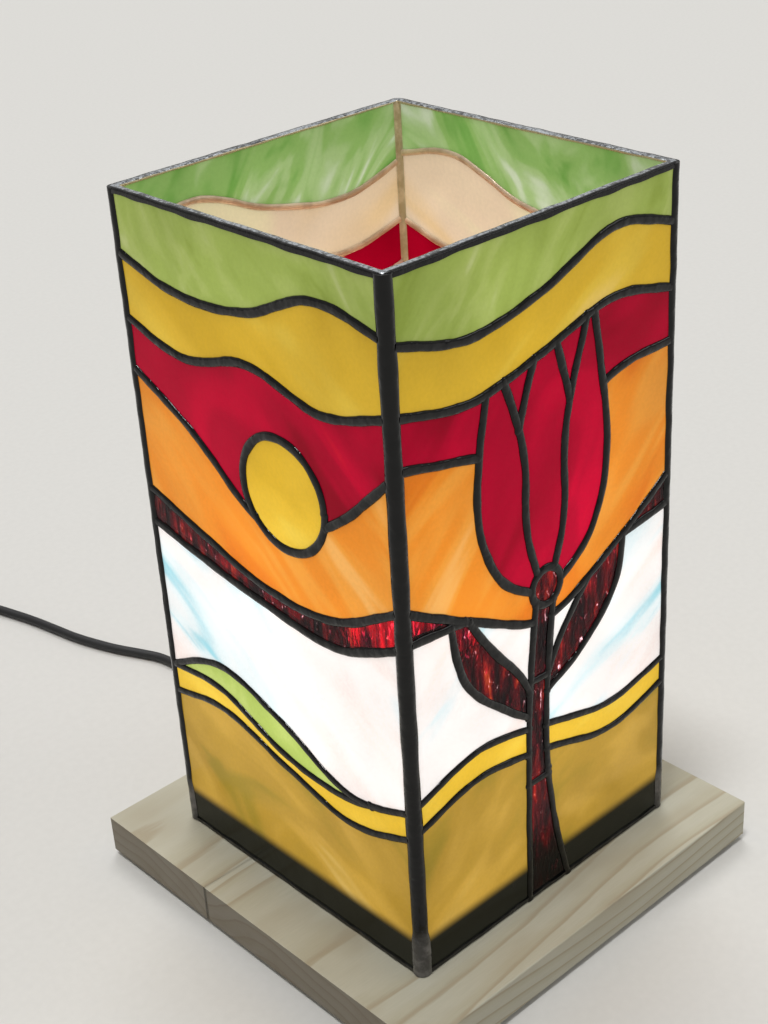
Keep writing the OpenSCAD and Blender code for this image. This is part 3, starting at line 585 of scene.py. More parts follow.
def make_dome():
    """A frosted diffuser, a little dimmer towards its rim."""
    s = Shader("bulb_dome")
    rise = s.stretch(s.z, DOME_LOW.z, DOME_HIGH.z, 0.8, 1.0)
    speckle = s.vary(s.specks(0.002), 0.98, 1.02)
    light = s.product(rise, speckle, BULB_GLOW)
    return s.finish(
        s.principled(
            Base_Color=linear(0.95, 0.94, 0.90),
            Roughness=0.5,
            Emission_Color=linear(1.0, 0.93, 0.80),
            Emission_Strength=light,
        )
    )


PINE = [linear(0.69, 0.675, 0.605), linear(0.67, 0.65, 0.57), linear(0.62, 0.58, 0.49)]
PLINTH_WOOD = [linear(0.78, 0.72, 0.60), linear(0.72, 0.64, 0.50), linear(0.60, 0.50, 0.36)]
BLACK = linear(0.13, 0.13, 0.135)

materials = {
    "pine_front": make_wood(
        "pine_front", PINE, heart=(-0.02, -0.11), ring_step=6 * MM, shift=(0, 0, 0)
    ),
    "pine_rear": make_wood(
        "pine_rear", PINE, heart=(0.09, -0.09), ring_step=6.5 * MM, shift=(0.31, 0.17, 0.05)
    ),
    "plinth_wood": make_wood(
        "plinth_wood", PLINTH_WOOD, heart=(0.01, -0.08), ring_step=4 * MM, shift=(0.6, 0.4, 0.2)
    ),
    "pad_rubber": make_grained("pad_rubber", linear(0.24, 0.24, 0.235), 0.8, depth=0.1 * MM),
    "zinc_steel": make_grained("zinc_steel", linear(0.72, 0.72, 0.70), 0.32, metallic=1.0),
    "cord_black": make_grained("cord_black", linear(0.10, 0.10, 0.105), 0.48),
    "clamp_plastic": make_grained("clamp_plastic", linear(0.80, 0.79, 0.75), 0.5),
    "rubber_black": make_grained("rubber_black", linear(0.11, 0.11, 0.11), 0.6),
    "tie_fabric": make_woven("tie_fabric", linear(0.16, 0.16, 0.17)),
    "plastic_black": make_grained("plastic_black", BLACK, 0.38),
    "rocker_black": make_grained("rocker_black", linear(0.16, 0.16, 0.165), 0.3),
    "nickel": make_grained("nickel", linear(0.78, 0.77, 0.75), 0.2, metallic=1.0, spread=0.05),
    "holder_black": make_grained("holder_black", linear(0.12, 0.115, 0.11), 0.3),
    "porcelain": make_grained("porcelain", linear(0.92, 0.91, 0.87), 0.15, spread=0.03),
    "brass": make_grained("brass", linear(0.82, 0.68, 0.38), 0.28, metallic=1.0),
    "tip_metal": make_grained("tip_metal", linear(0.72, 0.70, 0.66), 0.3, metallic=1.0),
    "insulator_black": make_grained("insulator_black", linear(0.11, 0.11, 0.115), 0.2),
    "bulb_white": make_grained("bulb_white", linear(0.92, 0.915, 0.90), 0.35, spread=0.03),
    "bulb_dome": make_dome(),
    "solder_black": make_black_solder("solder_black"),
    "seam_black": make_black_solder("seam_black", FOOT + SEAM_FOOT),
    "rim_tin": make_rim(),
    "inside_tin": make_tin("inside_tin", linear(0.86, 0.77, 0.68), linear(0.72, 0.62, 0.53)),
    "glass_green": make_green(),
    "glass_yellow": make_yellow(),
    "glass_red": make_red(),
    "glass_orange": make_orange(),
    "glass_maroon": make_maroon(),
    "glass_white": make_white(),
    "glass_amber": make_amber(),
}

NODE_MATERIALS = {
    "base_board_front": "pine_front",
    "base_board_rear": "pine_rear",
    "plinth": "plinth_wood",
    "pads": "pad_rubber",
    "wood_screws": "zinc_steel",
    "inner_lead": "cord_black",
    "cord_clamp": "clamp_plastic",
    "plug_body": "plastic_black",
    "plug_pins": "nickel",
    "switch_lower": "plastic_black",
    "switch_upper": "plastic_black",
    "rocker": "rocker_black",
    "holder_base": "holder_black",
    "holder_skirt": "holder_black",
    "holder_cup": "porcelain",
    "holder_shell": "brass",
    "holder_contacts": "brass",
    "bulb_tip": "tip_metal",
    "bulb_insulator": "insulator_black",
    "bulb_cap": "nickel",
    "bulb_body": "bulb_white",
    "bulb_board": "bulb_white",
    "bulb_dome": "bulb_dome",
}


def dress(name, material):
    data = nodes[name].data
    data.materials.clear()
    data.materials.append(materials[material])


for name, material in NODE_MATERIALS.items():
    dress(name, material)
for name in nodes:
    glass = "glass_" + name.partition("_")[2]
    if glass in materials:
        dress(name, glass)


SOFTENED_ANGLE = math.radians(50)
SHARP_ANGLE = math.radians(48)


def soften(name, width, segments=3):
    """Rounds the edges of a CAD node with modifiers."""
    piece = nodes[name]
    piece.modifiers.new("weld", "WELD").merge_threshold = 0.001 * MM
    bevel = piece.modifiers.new("bevel", "BEVEL")
    bevel.width = width
    bevel.segments = segments
    bevel.limit_method = "ANGLE"
    bevel.angle_limit = SOFTENED_ANGLE
    bevel.harden_normals = False


for name in ("base_board_front", "base_board_rear", "plinth"):
    soften(name, 0.6 * MM)
for name in ("switch_lower", "switch_upper"):
    soften(name, 1.2 * MM)
soften("rocker", 0.4 * MM)
soften("plug_body", 2.2 * MM, segments=4)

# ---------------------------------------------------------------- mesh helpers


def make_piece(name, parts, material, body):
    """One object from closed parts, each given as its vertices and its faces."""
    vertices, faces = [], []
    for part_vertices, part_faces in parts:
        start = len(vertices)
        vertices.extend(map(tuple, part_vertices))
        faces.extend(tuple(start + i for i in face) for face in part_faces)
    mesh = bpy.data.meshes.new(name)
    mesh.from_pydata(vertices, [], faces)
    work = bmesh.new()
    work.from_mesh(mesh)
    bmesh.ops.recalc_face_normals(work, faces=work.faces)
    work.to_mesh(mesh)
    work.free()
    mesh.polygons.foreach_set("use_smooth", [True] * len(mesh.polygons))
    mesh.set_sharp_from_angle(angle=SHARP_ANGLE)
    mesh.materials.append(materials[material])
    piece = bpy.data.objects.new(name, mesh)
    bpy.context.scene.collection.objects.link(piece)
    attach(piece, body)
    return piece


def ring_faces(rings, count, loop=False):
    """Faces between rings of count points each. An open row of rings gets an end at each side."""
    faces = []
    for i in range(rings if loop else rings - 1):
        j = (i + 1) % rings
        for k in range(count):
            m = (k + 1) % count
            faces.append((i * count + k, i * count + m, j * count + m, j * count + k))
    if not loop:
        faces.append(tuple(range(count)))
        faces.append(tuple((rings - 1) * count + k for k in range(count)))
    return faces


def sweep(centres, sides, ups, sections, loop=False):
    """A section swept along a path. Each ring's section lies in its own side and up axes."""
    points = (
        centres[:, None]
        + sections[:, :, :1] * sides[:, None]
        + sections[:, :, 1:] * ups[:, None]
    )
    return points.reshape(-1, 3), ring_faces(*sections.shape[:2], loop)


def quarter_turned(points, turn):
    """Points turned about the lamp's upright axis by quarter turns."""
    c, s = ((1, 0), (0, 1), (-1, 0), (0, -1))[turn]
    x, y, z = np.moveaxis(points, -1, 0)
    return np.stack([c * x - s * y, s * x + c * y, z], axis=-1)


def wander(along, reach, seed):
    """A smooth random line between about -1 and 1, which changes over a length of reach."""
    phases = np.random.default_rng(seed).uniform(0, 2 * math.pi, 3)
    lengths = reach * np.array([1.0, 1.7, 3.1])
    waves = [np.sin(2 * math.pi * along / l + p) for l, p in zip(lengths, phases)]
    return sum(waves) / 2.2


def spline(points, steps):
    """A smooth curve through points, as a list of points."""
    p = np.asarray(points, float)
    p = np.vstack([2 * p[0] - p[1], p, 2 * p[-1] - p[-2]])
    curve = []
    for a, b, c, d in zip(p, p[1:], p[2:], p[3:]):
        for t in np.arange(steps) / steps:
            curve.append(
                0.5
                * (
                    2 * b
                    + (c - a) * t
                    + (2 * a - 5 * b + 4 * c - d) * t**2
                    + (3 * b - a - 3 * c + d) * t**3
                )
            )
    curve.append(p[-2])
    return np.array(curve)


def along_path(path):
    """Distance of each point of a path from its start."""
    return np.concatenate([[0], np.cumsum(np.linalg.norm(np.diff(path, axis=0), axis=1))])


def spaced(path, step):
    """The same path with points a step apart."""
    along = along_path(path)
    count = max(int(round(along[-1] / step)), 2)
    at = np.linspace(0, along[-1], count + 1)
    return np.column_stack([np.interp(at, along, path[:, k]) for k in range(path.shape[1])])


# ---------------------------------------------------------------- mains lead
# The routes and the coil's sizes are repeated from part.scad, in millimetres.

LEAD_DIAMETER = 5.0
LEAD_ROUTE = [
    [0, 101.5, 6.5], [0, 112, 6.5], [0, 124, 6.5], [0, 132, 6], [1, 142, 4.4],
    [3, 153, 3], [6, 166, 2.5], [9, 182, 2.5], [11, 198, 2.5], [10, 214, 2.5],
    [5, 227, 2.5], [-1, 240, 2.5], [-6, 254, 2.5],
    [-10, 268, 2.5], [-13, 284, 2.5], [-16, 300, 2.5], [-20, 316, 2.5], [-25, 332, 2.8],
    [-31, 345, 3.8], [-39, 355.5, 5.2], [-48, 362, 6],
]
COIL_ROUTE = [
    [-98, 391, 6], [-108, 395, 5], [-119, 395, 4], [-129, 391, 3.2], [-138, 384, 3.1],
    [-143, 375, 3.1], [-145, 364, 3.1], [-145, 350, 3.1], [-145, 338, 3.1], [-145, 325, 3.1],
]
PLUG_ROUTE = [[-145, 325, 8.1], [-145, 310, 7.8], [-145, 296, 7.2], [-145, 284, 7]]
COIL_AT = (-108, 325)
COIL_RADII = (22, 37)
COIL_Z = (3.1, 8.1)
COIL_TURNS = 7
STEPS_IN = ((0.7, 1.0), (1.7, 2.0), (2.7, 3.0))
CLIMB = (3.5, 3.75)
STEPS_OUT = ((4.2, 4.5), (5.2, 5.5), (6.2, 6.5))


def eased(t, start, end):
    share = min(max((t - start) / (end - start), 0), 1)
    return share * share * (3 - 2 * share)


def coil_point(t):
    """A point of the coil after t turns: inwards on the table, up, and outwards on top."""
    radius = COIL_RADII[1]
    radius -= LEAD_DIAMETER * sum(eased(t, *step) for step in STEPS_IN)
    radius += LEAD_DIAMETER * sum(eased(t, *step) for step in STEPS_OUT)
    turn = math.pi + 2 * math.pi * t
    z = COIL_Z[0] + (COIL_Z[1] - COIL_Z[0]) * eased(t, *CLIMB)
    return [COIL_AT[0] + radius * math.cos(turn), COIL_AT[1] + radius * math.sin(turn), z]


def make_lead():
    per_turn = 24
    coil = [coil_point(i / per_turn) for i in range(1, COIL_TURNS * per_turn)]
    inside_switch = [[-64, 371.3, 6.4], [-81, 381.2, 6.4]]
    route = [*LEAD_ROUTE, *inside_switch, *COIL_ROUTE, *coil, *PLUG_ROUTE]
    curve = bpy.data.curves.new("lead", "CURVE")
    curve.dimensions = "3D"
    curve.resolution_u = 5
    curve.bevel_depth = LEAD_DIAMETER / 2 * MM
    curve.bevel_resolution = 4
    curve.use_fill_caps = True
    line = curve.splines.new("BEZIER")
    line.bezier_points.add(len(route) - 1)
    for point, place in zip(line.bezier_points, route):
        point.co = [c * MM for c in place]
        point.handle_left_type = point.handle_right_type = "AUTO"
    curve.materials.append(materials["cord_black"])
    lead = bpy.data.objects.new("lead", curve)
    bpy.context.scene.collection.objects.link(lead)
    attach(lead, "base")
    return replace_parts(lead, "cord_lead", "cord_coil")


lead = make_lead()


RELIEF_RIBS = 6
# Each point has its share along a rib and its dip in millimetres.
RIB_PROFILE = ((0.0, 0.0), (0.55, 0.0), (0.62, 0.55), (0.93, 0.55))
RELIEF_SIDES = 40


def make_relief():
    """A rubber sleeve that grips the lead, with ribs that let it bend."""
    low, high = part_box("strain_relief")
    edge = BOARD_HALF  # the board is square, so this is its rear edge too
    middle_z = LEAD_ROUTE[0][2] * MM
    bore = LEAD_DIAMETER / 2 * MM
    neck = 2.9 * MM
    collar = high.x
    tip = 3.5 * MM
    profile = [[bore, low.y], [neck, low.y], [neck, edge], [collar, edge], [collar, edge + 2.6 * MM]]
    start, end = edge + 3.6 * MM, high.y
    for i in range(RELIEF_RIBS):
        for share, dip in RIB_PROFILE:
            t = (i + share) / RELIEF_RIBS
            radius = (collar - 0.6 * MM) * (1 - t) + tip * t
            profile.append([max(radius - dip * MM, bore + 0.35 * MM), start + (end - start) * t])
    profile += [[tip, end - 0.3 * MM], [tip - 0.3 * MM, end], [bore, end]]
    profile = np.array(profile)
    turns = np.linspace(0, 2 * math.pi, RELIEF_SIDES, endpoint=False)
    points = [
        [r * math.cos(a), y, middle_z + r * math.sin(a)] for a in turns for r, y in profile
    ]
    sleeve = np.array(points), ring_faces(len(turns), len(profile), loop=True)
    piece = make_piece("relief_ribbed", [sleeve], "rubber_black", "base")
    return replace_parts(piece, "strain_relief")


def make_tie():
    """A hook-and-loop strap round the coil."""
    low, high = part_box("coil_tie")
    thick = 0.6 * MM
    corner = 2.4 * MM
    middle = (np.array(low) + np.array(high)) / 2
    half_x = (high.x - low.x) / 2 - thick / 2
    half_z = (high.z - low.z) / 2 - thick / 2
    path, outs = [], []
    for quarter, (sx, sz) in enumerate(((1, 1), (-1, 1), (-1, -1), (1, -1))):
        for b in np.radians(np.linspace(0, 90, 7) + 90 * quarter):
            way = np.array([math.cos(b), math.sin(b)])
            path.append(np.array([sx * (half_x - corner), sz * (half_z - corner)]) + corner * way)
            outs.append(way)
    path, outs = np.array(path), np.array(outs)
    level = np.full(len(path), middle[1])
    centres = np.column_stack([middle[0] + path[:, 0], level, middle[2] + path[:, 1]])
    ups = np.column_stack([outs[:, 0], np.zeros(len(outs)), outs[:, 1]])
    sides = np.tile([0.0, 1.0, 0.0], (len(path), 1))
    half_y = (high.y - low.y) / 2
    strip = np.array([
        [half_y, -thick / 2], [half_y, thick / 2], [0, thick * 0.62], [-half_y, thick / 2],
        [-half_y, -thick / 2], [0, -thick * 0.5],
    ])
    sections = np.repeat(strip[None], len(path), axis=0)
    strap = sweep(centres, sides, ups, sections, loop=True)
    piece = make_piece("tie_strap", [strap], "tie_fabric", "base")
    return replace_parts(piece, "coil_tie")


make_relief()
tie = make_tie()

# ---------------------------------------------------------------- the panels' designs
# They are repeated from part.scad in millimetres: u runs across a panel from its middle,
# and v up from the shade's foot. A shape has the lines that it is drawn with, and a test
# for the points that it holds. A shape hides what lies behind it.

PANEL_SIZE = (150, 296)
SIDE_REACH = 78
CURVE_STEPS = 10
FINE_STEP = 0.5
RUN_STEP = 2.0
SHORTEST_RUN = 4  # in points FINE_STEP apart
LINES_FROM = 0.5
DISC_POINTS = 61
STEM_SWAY = 6
STEM_SWAY_TURN = 1.2
STEM_HALF = 5
STEM_FLARE = 7
STEM_FLARE_TOP = 90
STEM_POINTS = 7
STEM_TILT = 5
STEM_TILT_REACH = PANEL_SIZE[0] / 2 + 40


class Shape:
    def __init__(self, lines, holds):
        self.lines = lines
        self.holds = holds


def above(*heights):
    u = np.linspace(-SIDE_REACH, SIDE_REACH, len(heights))
    line = spline(np.column_stack([u, heights]), CURVE_STEPS)
    return Shape([line], lambda p: p[:, 1] > np.interp(p[:, 0], line[:, 0], line[:, 1]))


def between(left, right):
    def holds(p):
        u, v = p.T
        after = u > np.interp(v, left[:, 1], left[:, 0])
        before = u < np.interp(v, right[:, 1], right[:, 0])
        return after & before & (v > left[0, 1]) & (v < left[-1, 1])

    return Shape([left, right], holds)


def leaf(left, right):
    return between(spline(left, CURVE_STEPS), spline(right, CURVE_STEPS))


def disc(centre, radius):
    turn = np.linspace(0, 2 * math.pi, DISC_POINTS)
    line = np.array(centre) + radius * np.column_stack([np.cos(turn), np.sin(turn)])
    return Shape([line], lambda p: np.linalg.norm(p - centre, axis=1) < radius)


def stem_edge(v, side):
    middle = -STEM_SWAY * np.sin(np.radians(STEM_SWAY_TURN * v))
    flare = STEM_FLARE * np.maximum(1 - v / STEM_FLARE_TOP, 0) ** 2
    return middle + side * (STEM_HALF + flare)


def stem(low, high, slope):
    v = np.linspace(low - abs(slope), high, STEM_POINTS)
    body = between(
        np.column_stack([stem_edge(v, -1), v]), np.column_stack([stem_edge(v, 1), v])
    )
    tilt = slope * STEM_TILT / STEM_TILT_REACH
    u = np.linspace(stem_edge(np.array(low), -1), stem_edge(np.array(low), 1), 5)
    foot = np.column_stack([u, low + tilt * u])
    return Shape([*body.lines, foot], lambda p: body.holds(p) & (p[:, 1] > low + tilt * p[:, 0]))


BLOOM = [
    above(70, 79, 72, 62, 70),
    above(82, 92, 84, 75, 82),
    leaf(
        [[-5, 88], [-25, 104], [-46, 128], [-54, 172]],
        [[-5, 88], [-14, 112], [-33, 137], [-54, 172]],
    ),
    leaf([[-5, 98], [8, 122], [27, 145], [46, 172]], [[-5, 98], [21, 111], [42, 134], [46, 172]]),
    above(156, 152, 148, 151, 156),
    above(172, 150, 134, 149, 172),
    above(226, 217, 207, 224, 226),
    stem(-8, 64, 0),
    stem(60, 112, 1),
    stem(108, 150, -1),
    leaf([[0, 144], [-14, 174], [-15, 214], [2, 262]], [[0, 144], [14, 174], [15, 214], [2, 262]]),
    leaf([[1, 144], [10, 174], [12, 214], [26, 260]], [[1, 144], [26, 162], [35, 198], [26, 260]]),
    leaf(
        [[-1, 144], [-25, 162], [-36, 196], [-27, 256]],
        [[-1, 144], [-10, 174], [-12, 212], [-27, 256]],
    ),
    disc([0, 148], 8),
    above(246, 238, 245, 254, 246),
    above(272, 262, 268, 281, 272),
]
SUN = [
    above(70, 76, 66, 58, 70),
    above(84, 86, 72, 70, 84),
    above(82, 98, 88, 72, 82),
    above(156, 148, 142, 140, 156),
    above(172, 160, 150, 152, 172),
    above(226, 206, 180, 192, 226),
    disc([14, 196], 23),
    above(246, 236, 244, 236, 246),
    above(272, 262, 264, 278, 272),
]


def shown_runs(design, half):
    """The stretches of a design's lines that no later shape hides, on a panel of this half width."""
    runs = []
    for i, shape in enumerate(design):
        for line in shape.lines:
            points = spaced(line, FINE_STEP)
            shown = (np.abs(points[:, 0]) < half) & (points[:, 1] > LINES_FROM)
            for later in design[i + 1 :]:
                shown &= ~later.holds(points)
            marks = np.flatnonzero(np.diff(np.concatenate([[0], shown.astype(int), [0]])))
            for start, end in zip(marks[::2], marks[1::2]):
                if end - start > SHORTEST_RUN:
                    runs.append(spaced(points[start:end], RUN_STEP))
    return runs


# ---------------------------------------------------------------- solder lines

BEAD_WIDTH = 3.8
BEAD_PROUD = 0.9
BEAD_SUNK = 0.25
INNER_SHARE = 0.72
LOW_LINES = (95, 125)
LOW_SHARES = (0.85, 1.0)
BEAD_SIDES = 8
JOINT_RADIUS = 2.2
JOINT_SIDES = 14
JOINT_RINGS = (1.0, 0.88, 0.66, 0.38, 0.12)
EDGE_CLEAR = 2
OUTER_REACH = 72.0
INNER_REACH = 70.3


def on_panel(turn, face, points, height, outwards):
    """Places a panel's points, given across, up and proud of a face, in the lamp."""
    across = 2 * OUTER_FACE / PANEL_SIZE[0]
    upwards = (TOP - FOOT) / PANEL_SIZE[1]
    x = points[:, 0] * across
    y = -(face + outwards * height * MM)
    z = FOOT + points[:, 1] * upwards
    return quarter_turned(np.column_stack([x, y, z]), turn)


def bead(run, turn, face, outwards, seed):
    """A domed line of solder along a run."""
    along = along_path(run)
    ahead = np.gradient(run, axis=0)
    ahead /= np.linalg.norm(ahead, axis=1)[:, None]
    side = np.column_stack([-ahead[:, 1], ahead[:, 0]])
    width = BEAD_WIDTH * (1 if outwards > 0 else INNER_SHARE)
    width = width * np.interp(run[:, 1], LOW_LINES, LOW_SHARES)
    half = width / 2 * (1 + 0.07 * wander(along, 14, seed) + 0.04 * wander(along, 5, seed + 3))
    proud = BEAD_PROUD * (1 + 0.10 * wander(along, 9, seed + 1))
    drift = 0.15 * wander(along, 19, seed + 2)
    angles = np.linspace(0, math.pi, BEAD_SIDES + 1)
    across = np.concatenate([np.cos(angles), [-0.94, 0.94]])
    up = np.concatenate([np.sin(angles) ** 0.85, [0, 0]])
    sunk = np.concatenate([np.zeros(len(angles)), [BEAD_SUNK, BEAD_SUNK]])
    rings = []
    for k in range(len(run)):
        flat = run[k] + (drift[k] + half[k] * across)[:, None] * side[k]
        rings.append(on_panel(turn, face, flat, proud[k] * up - sunk, outwards))
    return np.vstack(rings), ring_faces(len(rings), len(across))


def joint(at, turn, face, outwards, seed):
    """A low blob of solder where a line ends on another."""
    rng = np.random.default_rng(seed)
    radius = JOINT_RADIUS * rng.uniform(0.92, 1.08) * (1 if outwards > 0 else INNER_SHARE)
    proud = BEAD_PROUD * rng.uniform(0.98, 1.06)
    turns = np.linspace(0, 2 * math.pi, JOINT_SIDES, endpoint=False)
    uneven = 1 + 0.06 * np.sin(2 * turns + rng.uniform(0, 6))
    uneven += 0.05 * np.sin(3 * turns + rng.uniform(0, 6))
    circle = (radius * uneven)[:, None] * np.column_stack([np.cos(turns), np.sin(turns)])
    rings = [on_panel(turn, face, at + circle, np.full(len(turns), -BEAD_SUNK), outwards)]
    for share in JOINT_RINGS:
        height = np.full(len(turns), proud * math.sqrt(1 - share**2.4))
        rings.append(on_panel(turn, face, at + share * circle, height, outwards))
    return np.vstack(rings), ring_faces(len(rings), len(turns))


def solder_lines(name, design, turn, face, outwards, reach, material):
    parts, joints = [], []
    for i, run in enumerate(shown_runs(design, reach)):
        seed = 1000 * turn + 10 * i + (500 if outwards < 0 else 0)
        parts.append(bead(run, turn, face, outwards, seed))
        for end in (run[0], run[-1]):
            is_new = all(np.linalg.norm(end - other) > JOINT_RADIUS for other in joints)
            if abs(end[0]) < reach - EDGE_CLEAR and is_new:
                joints.append(end)
                parts.append(joint(end, turn, face, outwards, seed + 3 + len(joints)))
    return make_piece(name, parts, material, "shade")


PANELS = (("front", BLOOM, 0), ("right", SUN, 1), ("rear", BLOOM, 2), ("left", SUN, 3))
for side, design, turn in PANELS:
    outer = solder_lines(
        side + "_lines_outside", design, turn, OUTER_FACE, 1, OUTER_REACH, "solder_black"
    )
    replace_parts(outer, side + "_solder")
    inner = solder_lines(
        side + "_lines_inside", design, turn, INNER_FACE, -1, INNER_REACH, "inside_tin"
    )
    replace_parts(inner, side + "_solder")

# ---------------------------------------------------------------- corner seams and rims

SEAM_LAP = 4.4 * MM
SEAM_RADIUS = 3.4 * MM
SEAM_FILLET = 2.3 * MM
FOOT_SWELL = 0.14
SEAM_RINGS = 150
PROUD = BEAD_PROUD * MM
RIM_THICK = 0.8 * MM
RIM_LAP_OUT = 2.2 * MM
RIM_LAP_IN = 1.0 * MM
RIM_PROUD_OUT = 0.6 * MM
RIM_PROUD_IN = 0.4 * MM
RIM_CORNER = 2.4 * MM
RIM_STEP = 3 * MM


def arc(centre, radius, start, end, count):
    turns = np.radians(np.linspace(start, end, count))
    return np.array(centre) + radius * np.column_stack([np.cos(turns), np.sin(turns)])


def seam_section():
    """The section of the seam at the +X +Y corner, outside and inside."""
    edge = OUTER_FACE - SEAM_LAP
    centre = OUTER_FACE + PROUD - SEAM_RADIUS
    fillet = INNER_FACE - SEAM_FILLET
    shoulder = np.array([
        [OUTER_FACE + 0.1 * PROUD, edge],
        [OUTER_FACE + 0.72 * PROUD, edge + 0.5 * MM],
    ])
    return np.vstack([
        shoulder,
        arc((centre, centre), SEAM_RADIUS, 0, 90, 9),
        shoulder[::-1, ::-1],
        [[INNER_FACE, OUTER_FACE - 0.5 * MM]],
        arc((fillet, fillet), SEAM_FILLET, 88, 2, 7),
        [[OUTER_FACE - 0.5 * MM, INNER_FACE]],
    ])


def seam(turn):
    """One corner's solder, uneven along its height and wider at its foot."""
    z = np.linspace(FOOT + RIM_THICK * 0.5, TOP - RIM_THICK * 0.5, SEAM_RINGS)
    lap = 1 + 0.05 * wander(z, 0.021, 40 + turn)
    lap += FOOT_SWELL * np.interp(z, [FOOT + SEAM_FOOT, FOOT + SEAM_FOOT + 4 * MM], [1, 0])
    swell = 0.07 * MM * wander(z, 0.013, 50 + turn)
    flat = seam_section()
    out = np.maximum(flat[:, 0], flat[:, 1]) > OUTER_FACE
    rings = np.repeat(flat[None], len(z), axis=0)
    rings[:, out] = OUTER_FACE + (flat[out] - OUTER_FACE) * lap[:, None, None] + swell[:, None, None]
    heights = np.broadcast_to(z[:, None, None], (*rings.shape[:2], 1))
    points = quarter_turned(np.concatenate([rings, heights], axis=2), turn)
    return points.reshape(-1, 3), ring_faces(len(z), len(flat))


seams = make_piece(
    "corner_seams_soldered", [seam(turn) for turn in range(4)], "seam_black", "shade"
)
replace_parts(seams, "corner_seams")


def square_path(half, corner, step):
    """A square with rounded corners, and the way outwards at each point."""
    points, outs = [], []
    for turn in range(4):
        a = math.radians(90 * turn)
        spin = np.array([[math.cos(a), -math.sin(a)], [math.sin(a), math.cos(a)]])
        straight = np.arange(-(half - corner), half - corner, step)
        for u in straight:
            points.append(spin @ [half, u])
            outs.append(spin @ [1, 0])
        for b in np.radians(np.linspace(0, 90, 6)[:-1]):
            way = np.array([math.cos(b), math.sin(b)])
            points.append(spin @ (np.array([half - corner] * 2) + corner * way))
            outs.append(spin @ way)
    return np.array(points), np.array(outs)


def rim(edge_z, upwards, seed):
    """A bead of solder that caps the glass all round, with a lap on both faces."""
    half = GLASS_MIDDLE
    path, outs = square_path(half, RIM_CORNER, RIM_STEP)
    along = along_path(path)
    reach_out = OUTER_FACE + RIM_PROUD_OUT - half
    reach_in = half - (INNER_FACE - RIM_PROUD_IN)
    glass_half = OUTER_FACE - half
    crown = RIM_THICK * (1 + 0.16 * wander(along, 0.011, seed))
    lap = 1 + 0.14 * wander(along, 0.017, seed + 1)
    wide = 1 + 0.05 * wander(along, 0.015, seed + 2)
    cap = arc((0, 0), 1, 0, 180, 9)
    cap_reach = np.where(cap[:, 0] > 0, reach_out, reach_in) * np.sign(cap[:, 0])
    cap_reach *= np.abs(cap[:, 0]) ** 0.5
    cap_rise = np.abs(cap[:, 1]) ** 0.7
    sections = []
    for k in range(len(path)):
        low_out, low_in = -RIM_LAP_OUT * lap[k], -RIM_LAP_IN * lap[k]
        legs = [
            [-reach_in * wide[k], low_in],
            [-glass_half + 0.02 * MM, low_in - 0.2 * MM],
            [-glass_half + 0.2 * MM, -RIM_THICK],
            [glass_half - 0.2 * MM, -RIM_THICK],
            [glass_half - 0.02 * MM, low_out - 0.2 * MM],
            [reach_out * wide[k], low_out],
        ]
        top = np.column_stack([cap_reach * wide[k], crown[k] * cap_rise - RIM_THICK])
        sections.append(np.vstack([top, legs]))
    sections = np.array(sections)
    sections[:, :, 1] *= upwards
    centres = np.column_stack([path, np.full(len(path), edge_z)])
    sides = np.column_stack([outs, np.zeros(len(outs))])
    ups = np.tile([0.0, 0.0, 1.0], (len(path), 1))
    return sweep(centres, sides, ups, sections, loop=True)


top_rim = make_piece("top_rim_soldered", [rim(TOP, 1, 70)], "rim_tin", "shade")
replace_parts(top_rim, "top_rim")
bottom_rim = make_piece(
    "bottom_rim_soldered", [rim(FOOT, -1, 80)], "solder_black", "shade"
)
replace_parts(bottom_rim, "bottom_rim")

# ---------------------------------------------------------------- floor and light

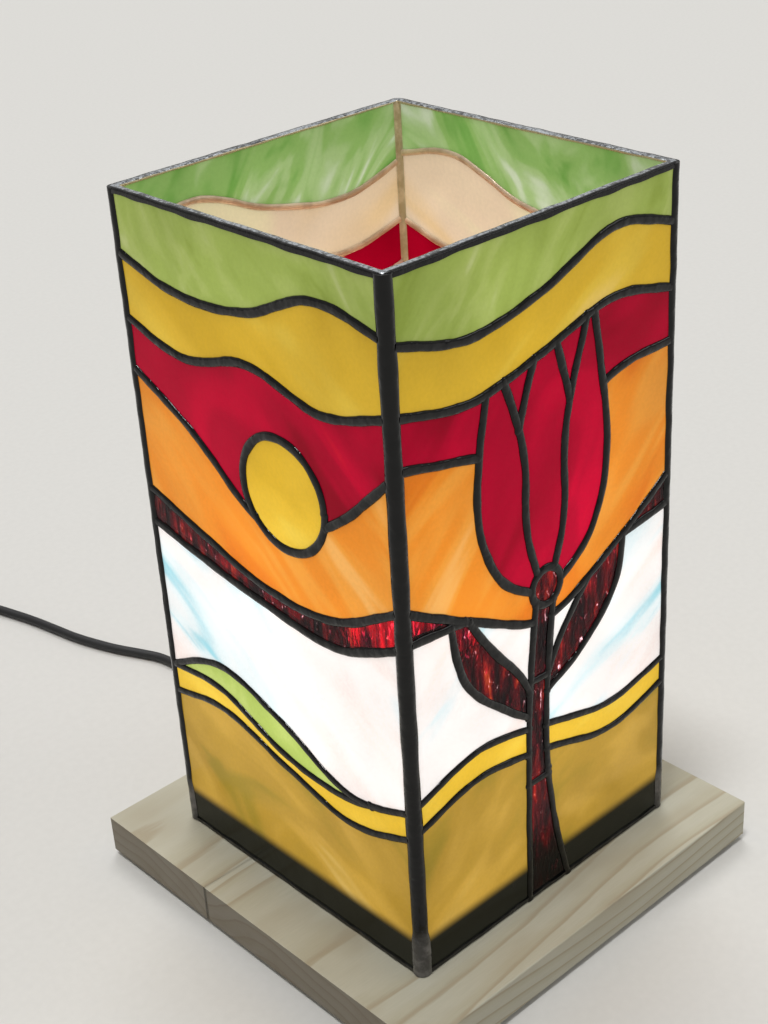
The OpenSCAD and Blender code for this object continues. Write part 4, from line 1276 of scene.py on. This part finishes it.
FLOOR_TONE = linear(0.80, 0.795, 0.78)
FLOOR_HALF = 6.0
SKY_LIGHT = 0.42
SKY_SEEN = 0.66
SKY_COLOUR = (1.0, 0.99, 0.97, 1.0)


def make_floor():
    s = Shader("floor")
    speck = s.specks(0.004)
    tone = s.times(FLOOR_TONE, s.vary(speck, 0.985, 1.015))
    material = s.finish(s.principled(Base_Color=tone, Roughness=0.75))
    half = FLOOR_HALF
    corners = [(-half, -half, 0), (half, -half, 0), (half, half, 0), (-half, half, 0)]
    mesh = bpy.data.meshes.new("floor")
    mesh.from_pydata(corners, [], [(0, 1, 2, 3)])
    mesh.materials.append(material)
    floor = bpy.data.objects.new("floor", mesh)
    bpy.context.scene.collection.objects.link(floor)


def make_world():
    """Plain soft light, and a paler backdrop to the camera, straight on or through glass."""
    world = bpy.data.worlds.new("world")
    world.use_nodes = True
    tree = world.node_tree
    background = tree.nodes["Background"]
    rays = tree.nodes.new("ShaderNodeLightPath")
    seen = tree.nodes.new("ShaderNodeMath")
    seen.operation = "MAXIMUM"
    tree.links.new(rays.outputs["Is Camera Ray"], seen.inputs[0])
    tree.links.new(rays.outputs["Is Transmission Ray"], seen.inputs[1])
    strength = tree.nodes.new("ShaderNodeMapRange")
    strength.inputs["To Min"].default_value = SKY_LIGHT
    strength.inputs["To Max"].default_value = SKY_SEEN
    tree.links.new(seen.outputs[0], strength.inputs["Value"])
    tree.links.new(strength.outputs[0], background.inputs["Strength"])
    background.inputs["Color"].default_value = SKY_COLOUR
    bpy.context.scene.world = world


def make_lamp(name, way, spread, power):
    """A far lamp that shines from a direction, wide enough for soft shadows."""
    data = bpy.data.lights.new(name, "SUN")
    data.angle = math.radians(spread)
    data.energy = power
    lamp = bpy.data.objects.new(name, data)
    lamp.rotation_euler = Vector(way).to_track_quat("Z", "Y").to_euler()
    bpy.context.scene.collection.objects.link(lamp)


make_floor()
make_world()
make_lamp("key", (-0.23, -0.05, 1), spread=10, power=1.5)
make_lamp("fill", (1.6, -1.4, 1.3), spread=25, power=0.3)
make_lamp("back", (0.25, 0.3, 0.8), spread=24, power=0.9)
bpy.context.scene.view_settings.view_transform = "Standard"
